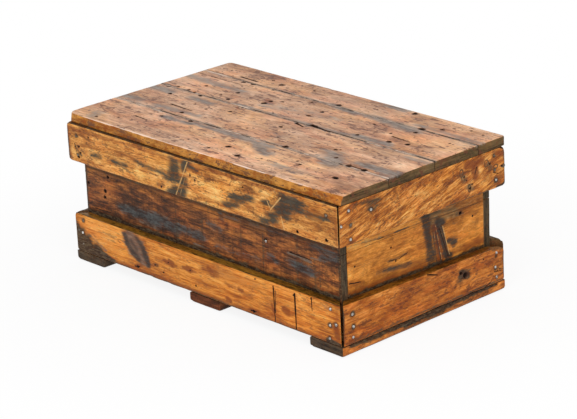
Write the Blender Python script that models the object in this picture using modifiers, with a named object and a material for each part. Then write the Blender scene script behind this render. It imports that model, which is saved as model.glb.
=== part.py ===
"""A low pine tool chest: a board box on three skids, bound by two mitred bands, under a flat hinged lid.

The origin is on the ground under the middle of the box, with +X to the right, -Y to the front and +Z up.
Units are metres.
"""
import math

import bmesh
import bpy
from mathutils import Vector

# Board box
BOX_LENGTH = 0.755
BOX_WIDTH = 0.417
WALL_THICKNESS = 0.018
FLOOR_THICKNESS = 0.018
FLOOR_BOARDS = 4
WALL_SHOWING = 0.116
WALL_SEAM_BELOW_BAND = 0.026

# Bands of battens round the box
UPPER_BAND_HEIGHT = 0.082
UPPER_BAND_THICKNESS = 0.0225
UPPER_MITRE_GAP = 0.0006
LOWER_BAND_HEIGHT = 0.0845
LOWER_BAND_THICKNESS = 0.0205
LOWER_MITRE_GAP = 0.0025
LOWER_RIGHT_FALL = 0.010
WORN_END_ROUND = 0.007
CRISP_END_ROUND = 0.003

# Skids under the box
SKID_HEIGHT = 0.0215
SKID_WIDTH = 0.090
SKID_EDGE_ROUND = 0.008
MIDDLE_SKID_OFFSET = 0.007

# Lid boards, widths given from the back, the front board takes what is left
LID_THICKNESS = 0.020
LID_FRONT_INSET = 0.008
LID_BACK_BOARD = 0.078
LID_REAR_MIDDLE_BOARD = 0.122
LID_FRONT_MIDDLE_BOARD = 0.125
LID_CORNER_ROUND = 0.006

# Cleats under the lid
CLEAT_WIDTH = 0.060
CLEAT_THICKNESS = 0.018
CLEAT_END_CLEARANCE = 0.006
CLEAT_SPACING = 0.250

# Hinges on the back
HINGE_SPACING = 0.480
HINGE_LENGTH = 0.064
BOX_LEAF_HEIGHT = 0.034
LID_LEAF_TOP_MARGIN = 0.003
LEAF_THICKNESS = 0.002
KNUCKLE_RADIUS = 0.004
KNUCKLES = 5
KNUCKLE_GAP = 0.0004
PIN_RADIUS = 0.0018
PIN_CLEARANCE = 0.0003
PIN_OVERHANG = 0.001
TONGUE_REACH = 0.0008
JOIN_INSET = 0.00002

# Hinge screws
SCREW_SPACING = 0.040
SCREW_LENGTH = 0.015
SCREW_SHANK_RADIUS = 0.0016
SCREW_HEAD_RADIUS = 0.0034
SCREW_HEAD_DEPTH = 0.0015
SCREW_TIP = 0.003

# Band nails
NAIL_LENGTH = 0.050
NAIL_SHANK_RADIUS = 0.0016
NAIL_HEAD_RADIUS = 0.004
NAIL_HEAD_HEIGHT = 0.0012
NAIL_DOME_RADIUS = 0.0024
NAIL_DOME_HEIGHT = 0.0010
NAIL_TIP = 0.005
UPPER_LONG_NAIL_RISE = 0.018
UPPER_SHORT_NAIL_RISE = -0.002
LOWER_LONG_NAIL_RISE = 0.0295
LOWER_SHORT_NAIL_RISE = -0.0075

# Fits and edges
GAP = 0.0003
BOARD_SEAM = 0.0008
HOLE_CLEARANCE = 0.0003
WORN_ARRIS = 0.0025
SAWN_ARRIS = 0.001
ARRIS_SEGMENTS = 2
ROUND_SEGMENTS = 3
ARRIS_ANGLE = math.radians(40)
TURNED_STEPS = 10
BARREL_SIDES = 16
WELD_DISTANCE = 0.00001
STRAIGHT = 0.99

# Heights
FLOOR_BOTTOM = SKID_HEIGHT + GAP
WALL_BOTTOM = FLOOR_BOTTOM + FLOOR_THICKNESS + GAP
LOWER_BAND_BOTTOM = FLOOR_BOTTOM
LOWER_BAND_TOP = LOWER_BAND_BOTTOM + LOWER_BAND_HEIGHT
UPPER_BAND_BOTTOM = LOWER_BAND_TOP + WALL_SHOWING
BOX_TOP = UPPER_BAND_BOTTOM + UPPER_BAND_HEIGHT
WALL_SEAM = UPPER_BAND_BOTTOM - WALL_SEAM_BELOW_BAND
LID_BOTTOM = BOX_TOP + GAP
HINGE_HEIGHT = BOX_TOP + GAP / 2

# Plan sizes
UPPER_BAND_LENGTH = BOX_LENGTH + 2 * (GAP + UPPER_BAND_THICKNESS)
UPPER_BAND_WIDTH = BOX_WIDTH + 2 * (GAP + UPPER_BAND_THICKNESS)
LOWER_BAND_LENGTH = BOX_LENGTH + 2 * (GAP + LOWER_BAND_THICKNESS)
LOWER_BAND_WIDTH = BOX_WIDTH + 2 * (GAP + LOWER_BAND_THICKNESS)
BACK_FACE = UPPER_BAND_WIDTH / 2
LEAF_FACE = BACK_FACE + GAP
HINGE_AXIS_Y = LEAF_FACE + KNUCKLE_RADIUS
LID_FRONT = -UPPER_BAND_WIDTH / 2 + LID_FRONT_INSET

# Looks: colour, roughness, metallic value
BAND_LOOK = ((0.52, 0.25, 0.075), 0.38, 0.0)
LID_LOOK = ((0.50, 0.28, 0.14), 0.42, 0.0)
FRONT_WALL_LOOK = ((0.19, 0.075, 0.028), 0.42, 0.0)
END_WALL_LOOK = ((0.47, 0.21, 0.06), 0.40, 0.0)
INSIDE_LOOK = ((0.33, 0.20, 0.10), 0.70, 0.0)
SKID_LOOK = ((0.085, 0.055, 0.038), 0.60, 0.0)
HINGE_LOOK = ((0.16, 0.15, 0.14), 0.50, 1.0)
NAIL_LOOK = ((0.55, 0.54, 0.52), 0.35, 1.0)

OUTWARD = {
    "front": Vector((0, -1, 0)),
    "right": Vector((1, 0, 0)),
    "back": Vector((0, 1, 0)),
    "left": Vector((-1, 0, 0)),
}
TURN = {"front": 0.0, "right": math.pi / 2, "back": math.pi, "left": -math.pi / 2}

# The front right corner of each band has kept its shape; 1 is a batten's end on the right as one faces it
CRISP_END = {"front": 1, "right": -1}


def clear_scene():
    for item in list(bpy.data.objects):
        bpy.data.objects.remove(item, do_unlink=True)


def make_collection(name):
    collection = bpy.data.collections.new(name)
    bpy.context.scene.collection.children.link(collection)
    return collection


def finish(item, look):
    """Give an object a material of its own."""
    colour, roughness, metallic = look
    material = bpy.data.materials.new(item.name + "_finish")
    material.use_nodes = True
    shader = material.node_tree.nodes["Principled BSDF"]
    shader.inputs["Base Color"].default_value = (*colour, 1.0)
    shader.inputs["Roughness"].default_value = roughness
    shader.inputs["Metallic"].default_value = metallic
    item.data.materials.append(material)


def add_part(name, shape, centre, look=None, parent=None):
    """Turn a bmesh into a named part at a world point, under a parent empty if it moves."""
    mesh = bpy.data.meshes.new(name)
    shape.to_mesh(mesh)
    shape.free()
    item = bpy.data.objects.new(name, mesh)
    parts.objects.link(item)
    item.location = Vector(centre)
    if parent:
        item.parent = parent
        item.location = Vector(centre) - parent.location
    if look:
        finish(item, look)
    return item


def shade_round(item):
    item.data.shade_smooth()
    item.data.set_sharp_from_angle(angle=ARRIS_ANGLE)


def box_shape(size):
    shape = bmesh.new()
    bmesh.ops.create_cube(shape, size=1.0)
    bmesh.ops.scale(shape, vec=size, verts=shape.verts)
    return shape


def round_edges(shape, chosen, radius):
    """Round the edges that the test chooses, seen from the shape's own middle."""
    edges = [edge for edge in shape.edges if chosen(edge)]
    bmesh.ops.bevel(shape, geom=edges, offset=radius, segments=ROUND_SEGMENTS, affect="EDGES", profile=0.5)


def middle_of(edge):
    return (edge.verts[0].co + edge.verts[1].co) / 2


def runs_along(edge, axis):
    span = edge.verts[1].co - edge.verts[0].co
    return abs(span[axis]) > STRAIGHT * span.length


def soften(item, width):
    """Take the arrises off a board."""
    bevel = item.modifiers.new("worn arrises", "BEVEL")
    bevel.width = width
    bevel.segments = ARRIS_SEGMENTS
    bevel.limit_method = "ANGLE"
    bevel.angle_limit = ARRIS_ANGLE


def drill(item, cutter):
    hole = item.modifiers.new("hole " + cutter.name, "BOOLEAN")
    hole.operation = "DIFFERENCE"
    hole.solver = "EXACT"
    hole.object = cutter


def add_board(name, size, centre, look, arris, parent=None):
    item = add_part(name, box_shape(size), centre, look, parent)
    soften(item, arris)
    return item


def turned(name, profile, point, outward, collection, parent=None):
    """A round piece on the axis through a point, from a profile of (radius, height), top to bottom."""
    mesh = bpy.data.meshes.new(name)
    corners = [(radius, 0.0, height) for radius, height in profile]
    links = [(index, index + 1) for index in range(len(corners) - 1)]
    mesh.from_pydata(corners, links, [])
    item = bpy.data.objects.new(name, mesh)
    collection.objects.link(item)
    item.rotation_euler = outward.to_track_quat("Z", "Y").to_euler()
    item.location = point
    if parent:
        item.parent = parent
        item.location = Vector(point) - parent.location
    screw = item.modifiers.new("turning", "SCREW")
    screw.steps = TURNED_STEPS
    screw.render_steps = TURNED_STEPS
    screw.use_merge_vertices = True
    screw.merge_threshold = WELD_DISTANCE
    return item


def hide_cutter(item):
    item.hide_render = True
    item.display_type = "WIRE"


# Walls and floor

def make_front_and_back_walls():
    walls = {}
    for side in ("front", "back"):
        y = OUTWARD[side].y * (BOX_WIDTH - WALL_THICKNESS) / 2
        look = FRONT_WALL_LOOK if side == "front" else END_WALL_LOOK
        walls[side] = stack_wall_boards(side + "_wall", (BOX_LENGTH, WALL_THICKNESS), (0, y), look)
    return walls


def make_end_walls():
    walls = {}
    depth = BOX_WIDTH - 2 * WALL_THICKNESS - 2 * GAP
    for side in ("left", "right"):
        x = OUTWARD[side].x * (BOX_LENGTH - WALL_THICKNESS) / 2
        walls[side] = stack_wall_boards(side + "_end", (WALL_THICKNESS, depth), (x, 0), END_WALL_LOOK)
    return walls


def stack_wall_boards(name, plan, place, look):
    """Two boards, one on the other, from the floor to the top of the box."""
    boards = {}
    spans = {"lower": (WALL_BOTTOM, WALL_SEAM - BOARD_SEAM), "upper": (WALL_SEAM, BOX_TOP)}
    for level, (low, high) in spans.items():
        size = (*plan, high - low)
        centre = (*place, (low + high) / 2)
        boards[level] = add_board(name + "_" + level + "_board", size, centre, look, SAWN_ARRIS)
    return boards


def make_floor():
    width = (BOX_WIDTH - (FLOOR_BOARDS - 1) * BOARD_SEAM) / FLOOR_BOARDS
    for index in range(FLOOR_BOARDS):
        y = -BOX_WIDTH / 2 + width / 2 + index * (width + BOARD_SEAM)
        centre = (0, y, FLOOR_BOTTOM + FLOOR_THICKNESS / 2)
        size = (BOX_LENGTH, width, FLOOR_THICKNESS)
        add_board("floor_board_" + str(index + 1), size, centre, INSIDE_LOOK, SAWN_ARRIS)


def make_skids():
    outer = (LOWER_BAND_LENGTH - SKID_WIDTH) / 2
    for name, x in (("left", -outer), ("middle", MIDDLE_SKID_OFFSET), ("right", outer)):
        shape = box_shape((SKID_WIDTH, LOWER_BAND_WIDTH, SKID_HEIGHT))
        round_edges(shape, lambda edge: runs_along(edge, 1) and middle_of(edge).z < 0, SKID_EDGE_ROUND)
        skid = add_part("skid_" + name, shape, (x, 0, SKID_HEIGHT / 2), SKID_LOOK)
        soften(skid, WORN_ARRIS)


# Bands

def band_shape(length, thickness, height, mitre_gap, rounds, fall):
    """A batten along X, outer face to -Y, mitred and rounded at its ends; its top edge falls towards +X."""
    shape = box_shape((length, thickness, height))
    for vert in shape.verts:
        end = math.copysign(1.0, vert.co.x)
        vert.co.x -= end * mitre_gap / math.sqrt(2)
        if vert.co.y > 0:
            vert.co.x -= end * thickness
    half_inside = length / 2 - thickness - mitre_gap
    for end, radius in rounds.items():
        round_edges(shape, lambda edge: is_end_corner(edge, end, half_inside), radius)
    for vert in shape.verts:
        if vert.co.z > 0:
            vert.co.z -= fall * (vert.co.x / length + 0.5)
    return shape


def is_end_corner(edge, end, half_inside):
    """True on the edges that cross a batten's end, at -X or +X, from its outer face to its inner face."""
    first, second = edge.verts[0].co, edge.verts[1].co
    crosses = first.y * second.y < 0
    return crosses and middle_of(edge).x * end > half_inside


def make_band(level, thickness, height, bottom, mitre_gap, falls):
    band = {}
    for side, outward in OUTWARD.items():
        along_length = side in ("front", "back")
        length = (BOX_LENGTH if along_length else BOX_WIDTH) + 2 * (GAP + thickness)
        reach = (BOX_WIDTH if along_length else BOX_LENGTH) / 2 + GAP + thickness / 2
        rounds = {-1: WORN_END_ROUND, 1: WORN_END_ROUND}
        if side in CRISP_END:
            rounds[CRISP_END[side]] = CRISP_END_ROUND
        shape = band_shape(length, thickness, height, mitre_gap, rounds, falls.get(side, 0.0))
        centre = outward * reach + Vector((0, 0, bottom + height / 2))
        item = add_part(level + "_band_" + side, shape, centre, BAND_LOOK)
        item.rotation_euler.z = TURN[side]
        soften(item, WORN_ARRIS)
        band[side] = item
    return band


def nail_profile(clearance):
    shank = NAIL_SHANK_RADIUS + clearance
    return [
        (0.0, NAIL_HEAD_HEIGHT + GAP),
        (NAIL_DOME_RADIUS, NAIL_DOME_HEIGHT + GAP),
        (NAIL_HEAD_RADIUS, GAP),
        (shank, GAP),
        (shank, NAIL_TIP - NAIL_LENGTH - clearance),
        (0.0, -NAIL_LENGTH - 2 * clearance),
    ]


def make_nails(level, band, thickness, height, bottom, rises, walls):
    """One nail at each batten's end, through the wall's edge; rises are from mid-height, long sides first."""
    long_rise, short_rise = rises
    for side, outward in OUTWARD.items():
        along_length = side in ("front", "back")
        ends = ("left", "right") if along_length else ("front", "back")
        face = (BOX_WIDTH if along_length else BOX_LENGTH) / 2 + GAP + thickness
        reach = (BOX_LENGTH if along_length else BOX_WIDTH) / 2 - WALL_THICKNESS / 2
        rise = long_rise if along_length else short_rise
        for end in ends:
            point = outward * face + OUTWARD[end] * reach + Vector((0, 0, bottom + height / 2 + rise))
            name = "_".join((level, "band", side, "nail", end))
            nail = turned(name, nail_profile(0.0), point, outward, parts)
            finish(nail, NAIL_LOOK)
            cutter = turned(name + "_hole", nail_profile(HOLE_CLEARANCE), point, outward, cutters)
            hide_cutter(cutter)
            drill(band[side], cutter)
            drill(walls[side if along_length else end][level], cutter)
            if along_length:
                drill(walls[end][level], cutter)


# Lid

def make_lid(pivot):
    widths = {
        "back": LID_BACK_BOARD,
        "rear_middle": LID_REAR_MIDDLE_BOARD,
        "front_middle": LID_FRONT_MIDDLE_BOARD,
    }
    widths["front"] = BACK_FACE - LID_FRONT - sum(widths.values()) - len(widths) * BOARD_SEAM
    boards = {}
    edge_y = BACK_FACE
    for name, width in widths.items():
        shape = box_shape((UPPER_BAND_LENGTH, width, LID_THICKNESS))
        outer = {"front": -1, "back": 1}.get(name, 0)
        round_edges(shape, lambda edge: is_lid_corner(edge, outer), LID_CORNER_ROUND)
        centre = (0, edge_y - width / 2, LID_BOTTOM + LID_THICKNESS / 2)
        boards[name] = add_part("lid_board_" + name, shape, centre, LID_LOOK, pivot)
        soften(boards[name], WORN_ARRIS)
        edge_y -= width + BOARD_SEAM
    return boards


def is_lid_corner(edge, outer):
    """True on a board's upright edges at -Y or +Y; outer is 0 for a board between two others."""
    return runs_along(edge, 2) and middle_of(edge).y * outer > 0


def make_cleats(pivot):
    length = BOX_WIDTH - 2 * WALL_THICKNESS - 2 * CLEAT_END_CLEARANCE
    for name, x in (("left", -CLEAT_SPACING), ("middle", 0.0), ("right", CLEAT_SPACING)):
        centre = (x, 0, LID_BOTTOM - GAP - CLEAT_THICKNESS / 2)
        size = (CLEAT_WIDTH, length, CLEAT_THICKNESS)
        add_board("lid_cleat_" + name, size, centre, INSIDE_LOOK, WORN_ARRIS, pivot)


# Hinges

def join(item, others, operation):
    """Apply a union or a difference with other objects, which are then removed."""
    for other in others:
        step = item.modifiers.new("join", "BOOLEAN")
        step.operation = operation
        step.solver = "EXACT"
        step.object = other
    bpy.context.view_layer.update()
    joined = bpy.data.meshes.new_from_object(item.evaluated_get(bpy.context.evaluated_depsgraph_get()))
    item.modifiers.clear()
    item.data = joined
    for other in others:
        bpy.data.objects.remove(other, do_unlink=True)


def barrel_shape(length, radius):
    """A cylinder along X."""
    shape = bmesh.new()
    bmesh.ops.create_cone(
        shape, cap_ends=True, segments=BARREL_SIDES, radius1=radius, radius2=radius, depth=length
    )
    quarter = Vector((0, 0, 1)).rotation_difference(Vector((1, 0, 0))).to_matrix()
    bmesh.ops.rotate(shape, cent=(0, 0, 0), matrix=quarter, verts=shape.verts)
    return shape


def make_leaf(name, x, up, height, numbers, parent=None):
    """A leaf with its rolled knuckles, on the outside of the back; up is 1 on the lid and -1 on the box."""
    pitch = HINGE_LENGTH / KNUCKLES
    knuckle = pitch - KNUCKLE_GAP
    relief = KNUCKLE_RADIUS + KNUCKLE_GAP
    plate_y = LEAF_FACE + LEAF_THICKNESS / 2
    plate_z = HINGE_HEIGHT + up * (relief + height) / 2
    plate = box_shape((HINGE_LENGTH, LEAF_THICKNESS, height - relief))
    leaf = add_part(name, plate, (x, plate_y, plate_z), HINGE_LOOK, parent)
    pieces = []
    tongue_foot = relief + LEAF_THICKNESS
    for number in numbers:
        centre_x = x + (number + 0.5) * pitch - HINGE_LENGTH / 2
        tongue_z = HINGE_HEIGHT + up * (TONGUE_REACH + tongue_foot) / 2
        tongue_size = (knuckle, LEAF_THICKNESS - 2 * JOIN_INSET, tongue_foot - TONGUE_REACH)
        tongue = add_part("tongue", box_shape(tongue_size), (centre_x, plate_y, tongue_z))
        rolled = barrel_shape(knuckle - 2 * JOIN_INSET, KNUCKLE_RADIUS)
        barrel = add_part("barrel", rolled, (centre_x, HINGE_AXIS_Y, HINGE_HEIGHT))
        pieces += [tongue, barrel]
    join(leaf, pieces, "UNION")
    hole = barrel_shape(2 * HINGE_LENGTH, PIN_RADIUS + PIN_CLEARANCE)
    bore = add_part("bore", hole, (x, HINGE_AXIS_Y, HINGE_HEIGHT))
    join(leaf, [bore], "DIFFERENCE")
    shade_round(leaf)
    return leaf


def screw_profile(clearance):
    head = SCREW_HEAD_RADIUS + clearance
    shank = SCREW_SHANK_RADIUS + clearance
    return [
        (0.0, clearance),
        (head, clearance),
        (shank, -SCREW_HEAD_DEPTH),
        (shank, SCREW_TIP - SCREW_LENGTH - clearance),
        (0.0, -SCREW_LENGTH - 2 * clearance),
    ]


def make_screws(name, x, z, leaf, board, parent=None):
    """Two countersunk screws through a leaf into the board behind it."""
    for number, side in enumerate((-1, 1), start=1):
        point = Vector((x + side * SCREW_SPACING / 2, LEAF_FACE + LEAF_THICKNESS, z))
        screw_name = name + "_screw_" + str(number)
        screw = turned(screw_name, screw_profile(0.0), point, OUTWARD["back"], parts, parent)
        finish(screw, HINGE_LOOK)
        cutter = turned(screw_name + "_hole", screw_profile(HOLE_CLEARANCE), point, OUTWARD["back"], cutters)
        hide_cutter(cutter)
        drill(leaf, cutter)
        drill(board, cutter)


def make_hinges(pivot, back_batten, back_lid_board):
    lid_leaf_height = LID_THICKNESS - LID_LEAF_TOP_MARGIN
    for side, x in (("left", -HINGE_SPACING / 2), ("right", HINGE_SPACING / 2)):
        name = "hinge_" + side
        box_leaf = make_leaf(name + "_box_leaf", x, -1, BOX_LEAF_HEIGHT, range(0, KNUCKLES, 2))
        lid_leaf = make_leaf(name + "_lid_leaf", x, 1, lid_leaf_height, range(1, KNUCKLES, 2), pivot)
        rod = barrel_shape(HINGE_LENGTH + 2 * PIN_OVERHANG, PIN_RADIUS)
        pin = add_part(name + "_pin", rod, (x, HINGE_AXIS_Y, HINGE_HEIGHT), HINGE_LOOK)
        shade_round(pin)
        relief = KNUCKLE_RADIUS + KNUCKLE_GAP
        box_z = HINGE_HEIGHT - (relief + BOX_LEAF_HEIGHT) / 2
        lid_z = HINGE_HEIGHT + (relief + lid_leaf_height) / 2
        make_screws(name + "_box", x, box_z, box_leaf, back_batten)
        make_screws(name + "_lid", x, lid_z, lid_leaf, back_lid_board, pivot)


def make_pivot():
    pivot = bpy.data.objects.new("lid_pivot", None)
    parts.objects.link(pivot)
    pivot.location = (0, HINGE_AXIS_Y, HINGE_HEIGHT)
    return pivot


def build():
    walls = make_front_and_back_walls()
    walls.update(make_end_walls())
    make_floor()
    make_skids()
    upper_size = (UPPER_BAND_THICKNESS, UPPER_BAND_HEIGHT, UPPER_BAND_BOTTOM)
    upper = make_band("upper", *upper_size, UPPER_MITRE_GAP, {})
    make_nails("upper", upper, *upper_size, (UPPER_LONG_NAIL_RISE, UPPER_SHORT_NAIL_RISE), walls)
    lower_size = (LOWER_BAND_THICKNESS, LOWER_BAND_HEIGHT, LOWER_BAND_BOTTOM)
    lower = make_band("lower", *lower_size, LOWER_MITRE_GAP, {"right": LOWER_RIGHT_FALL})
    make_nails("lower", lower, *lower_size, (LOWER_LONG_NAIL_RISE, LOWER_SHORT_NAIL_RISE), walls)
    pivot = make_pivot()
    boards = make_lid(pivot)
    make_cleats(pivot)
    make_hinges(pivot, upper["back"], boards["back"])


clear_scene()
parts = make_collection("tool_chest")
cutters = make_collection("tool_chest_cutters")
build()
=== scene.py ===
"""The tool chest as the photograph shows it: worn, varnished pine boards, bright nails and old hinges."""
import math
from dataclasses import dataclass

import bmesh
import bpy
import numpy as np
from mathutils import Matrix, Vector


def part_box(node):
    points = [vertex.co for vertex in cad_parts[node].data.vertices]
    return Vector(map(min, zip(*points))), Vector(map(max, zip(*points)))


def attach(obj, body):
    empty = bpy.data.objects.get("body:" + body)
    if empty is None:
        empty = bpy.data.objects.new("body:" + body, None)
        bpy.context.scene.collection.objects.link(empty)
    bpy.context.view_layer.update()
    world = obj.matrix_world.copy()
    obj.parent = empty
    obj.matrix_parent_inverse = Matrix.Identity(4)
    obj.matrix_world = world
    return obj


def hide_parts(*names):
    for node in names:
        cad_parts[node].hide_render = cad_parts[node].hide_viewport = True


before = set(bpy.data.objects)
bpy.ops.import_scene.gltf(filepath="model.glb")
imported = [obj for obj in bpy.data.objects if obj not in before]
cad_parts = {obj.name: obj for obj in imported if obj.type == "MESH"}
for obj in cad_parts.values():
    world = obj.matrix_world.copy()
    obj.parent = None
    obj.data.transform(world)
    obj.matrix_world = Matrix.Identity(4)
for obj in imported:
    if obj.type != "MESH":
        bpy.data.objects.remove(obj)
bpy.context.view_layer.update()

MM = 0.001
TINY = 1e-6
X, Y, Z = 0, 1, 2
RED, GREEN, BLUE, ALPHA = 0, 1, 2, 3

# The middle of a noise, and of the layer that lightens or darkens the wood
MIDDLE = 0.5

# Camera, fitted to the photograph's corners
IMAGE_WIDTH = 577
CAMERA_AZIMUTH = math.radians(47.3346)
CAMERA_ELEVATION = math.radians(20.1551)
CAMERA_ROLL = math.radians(-2.5875)
CAMERA_FOCAL_PIXELS = 2403.5
CAMERA_DISTANCE = 4.92235
CAMERA_TARGET = Vector((-0.01034, 0.02441, 0.13121))
SENSOR_WIDTH = 36.0


# Numbers

HASH_AXES = (73856093, 19349663, 83492791)
HASH_SEED = 40503
HASH_START = 977
HASH_MIX = 1274126177
HASH_SHIFTS = (13, 16)
HASH_TOP = 0xFFFF


def value_noise(points, seed):
    """Smooth noise from 0 to 1 at each row of points, one unit to a cell."""
    cell = np.floor(points).astype(np.int64)
    part = points - cell
    part = part * part * (3 - 2 * part)
    total = np.zeros(len(points))
    first, second = HASH_SHIFTS
    for corner in np.ndindex(2, 2, 2):
        x, y, z = ((cell + corner) * HASH_AXES).T
        mixed = x ^ y ^ z ^ (seed * HASH_SEED + HASH_START)
        mixed = (mixed ^ (mixed >> first)) * HASH_MIX
        value = ((mixed ^ (mixed >> second)) & HASH_TOP) / HASH_TOP
        total += value * np.prod(np.where(corner, part, 1 - part), axis=1)
    return total


def smoothstep(low, high, value):
    t = np.clip((value - low) / (high - low), 0.0, 1.0)
    return t * t * (3 - 2 * t)


def capsule(points, stroke):
    """Distance from each 2D point to a stroke's middle line, as a share of the stroke's radius there."""
    start, end = np.array(stroke[0:2]), np.array(stroke[2:4])
    span = end - start
    length = span @ span
    along = np.clip((points - start) @ span / length, 0, 1) if length else np.zeros(len(points))
    radius = stroke[4] + (stroke[5] - stroke[4]) * along
    return np.hypot(*(points - start - along[:, None] * span).T) / radius


# Nodes

def srgb(red, green, blue):
    """A colour written as the screen shows it, 0 to 255, as the shader's linear values."""
    def linear(value):
        value = value / 255
        return value / 12.92 if value <= 0.04045 else ((value + 0.055) / 1.055) ** 2.4
    return (linear(red), linear(green), linear(blue), 1.0)


class Nodes:
    """A node tree, with short names for the nodes that the materials are made of."""

    def __init__(self, tree):
        self.tree = tree
        tree.nodes.clear()

    def add(self, kind, inputs=None, **settings):
        node = self.tree.nodes.new("ShaderNode" + kind)
        for name, value in settings.items():
            setattr(node, name, value)
        self.plug(node, inputs or {})
        return node

    def plug(self, node, inputs):
        """Link a node's inputs to sockets, or set them to values."""
        for key, value in inputs.items():
            if isinstance(value, bpy.types.NodeSocket):
                self.tree.links.new(value, node.inputs[key])
            else:
                node.inputs[key].default_value = value

    def calc(self, operation, *values):
        return self.add("Math", dict(enumerate(values)), operation=operation).outputs[0]

    def times(self, first, second):
        return self.calc("MULTIPLY", first, second)

    def most(self, first, second):
        return self.calc("MAXIMUM", first, second)

    def onto(self, base, value, weight):
        """The base with a value added to it by its weight."""
        return self.calc("MULTIPLY_ADD", value, weight, base)

    def weigh(self, start, *parts):
        """A start value with noises added about their middle, each by its weight."""
        for value, weight in parts:
            start = self.onto(start, self.calc("SUBTRACT", value, MIDDLE), weight)
        return start

    def fade(self, value, low, high):
        """0 at low, 1 at high, with soft shoulders."""
        inputs = {"Value": value, "From Min": low, "From Max": high}
        return self.add("MapRange", inputs, interpolation_type="SMOOTHSTEP").outputs["Result"]

    def mix(self, factor, first, second, mode="MIX"):
        inputs = {0: factor, 6: first, 7: second}
        return self.add("Mix", inputs, data_type="RGBA", blend_type=mode).outputs[2]

    def ramp(self, value, stops):
        node = self.add("ValToRGB", {"Fac": value})
        elements = node.color_ramp.elements
        for index, (place, colour) in enumerate(stops):
            element = elements[index] if index < 2 else elements.new(place)
            element.position = place
            element.color = srgb(*colour)
        return node.outputs["Color"]

    def noise(self, coords, scale, detail, roughness, distortion=0.0):
        """Noise with its own number of cells to the metre along each axis."""
        inputs = {
            "Vector": self.add("Mapping", {"Vector": coords, "Scale": scale}).outputs[0],
            "Scale": 1.0,
            "Detail": detail,
            "Roughness": roughness,
            "Distortion": distortion,
        }
        return self.add("TexNoise", inputs).outputs["Fac"]

    def bump(self, height, strength, distance):
        inputs = {"Height": height, "Strength": strength, "Distance": distance}
        return self.add("Bump", inputs).outputs["Normal"]


def new_material(name):
    material = bpy.data.materials.new(name)
    material.use_nodes = True
    nodes = Nodes(material.node_tree)
    shader = nodes.add("BsdfPrincipled")
    output = nodes.add("OutputMaterial", {"Surface": shader.outputs[0]})
    output.is_active_output = True
    return material, nodes, shader


# Wood

@dataclass
class Finish:
    """A wood's colours as the screen shows them, dark to light, and how strong its figure is."""

    wood: tuple
    side: tuple
    slate: tuple
    grey: tuple
    # The arris colour is laid along the top edges: partly worn pale wood, partly a painted highlight
    arris: tuple
    fleck: tuple
    flecks: float
    figure: tuple
    hues: tuple
    rough: float
    end: tuple = ((56, 36, 18), (108, 72, 38))
    inner: tuple = ((132, 92, 54), (180, 134, 88))
    along: float = 1.0
    across: float = 1.0
    saw: float = 0.0


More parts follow.
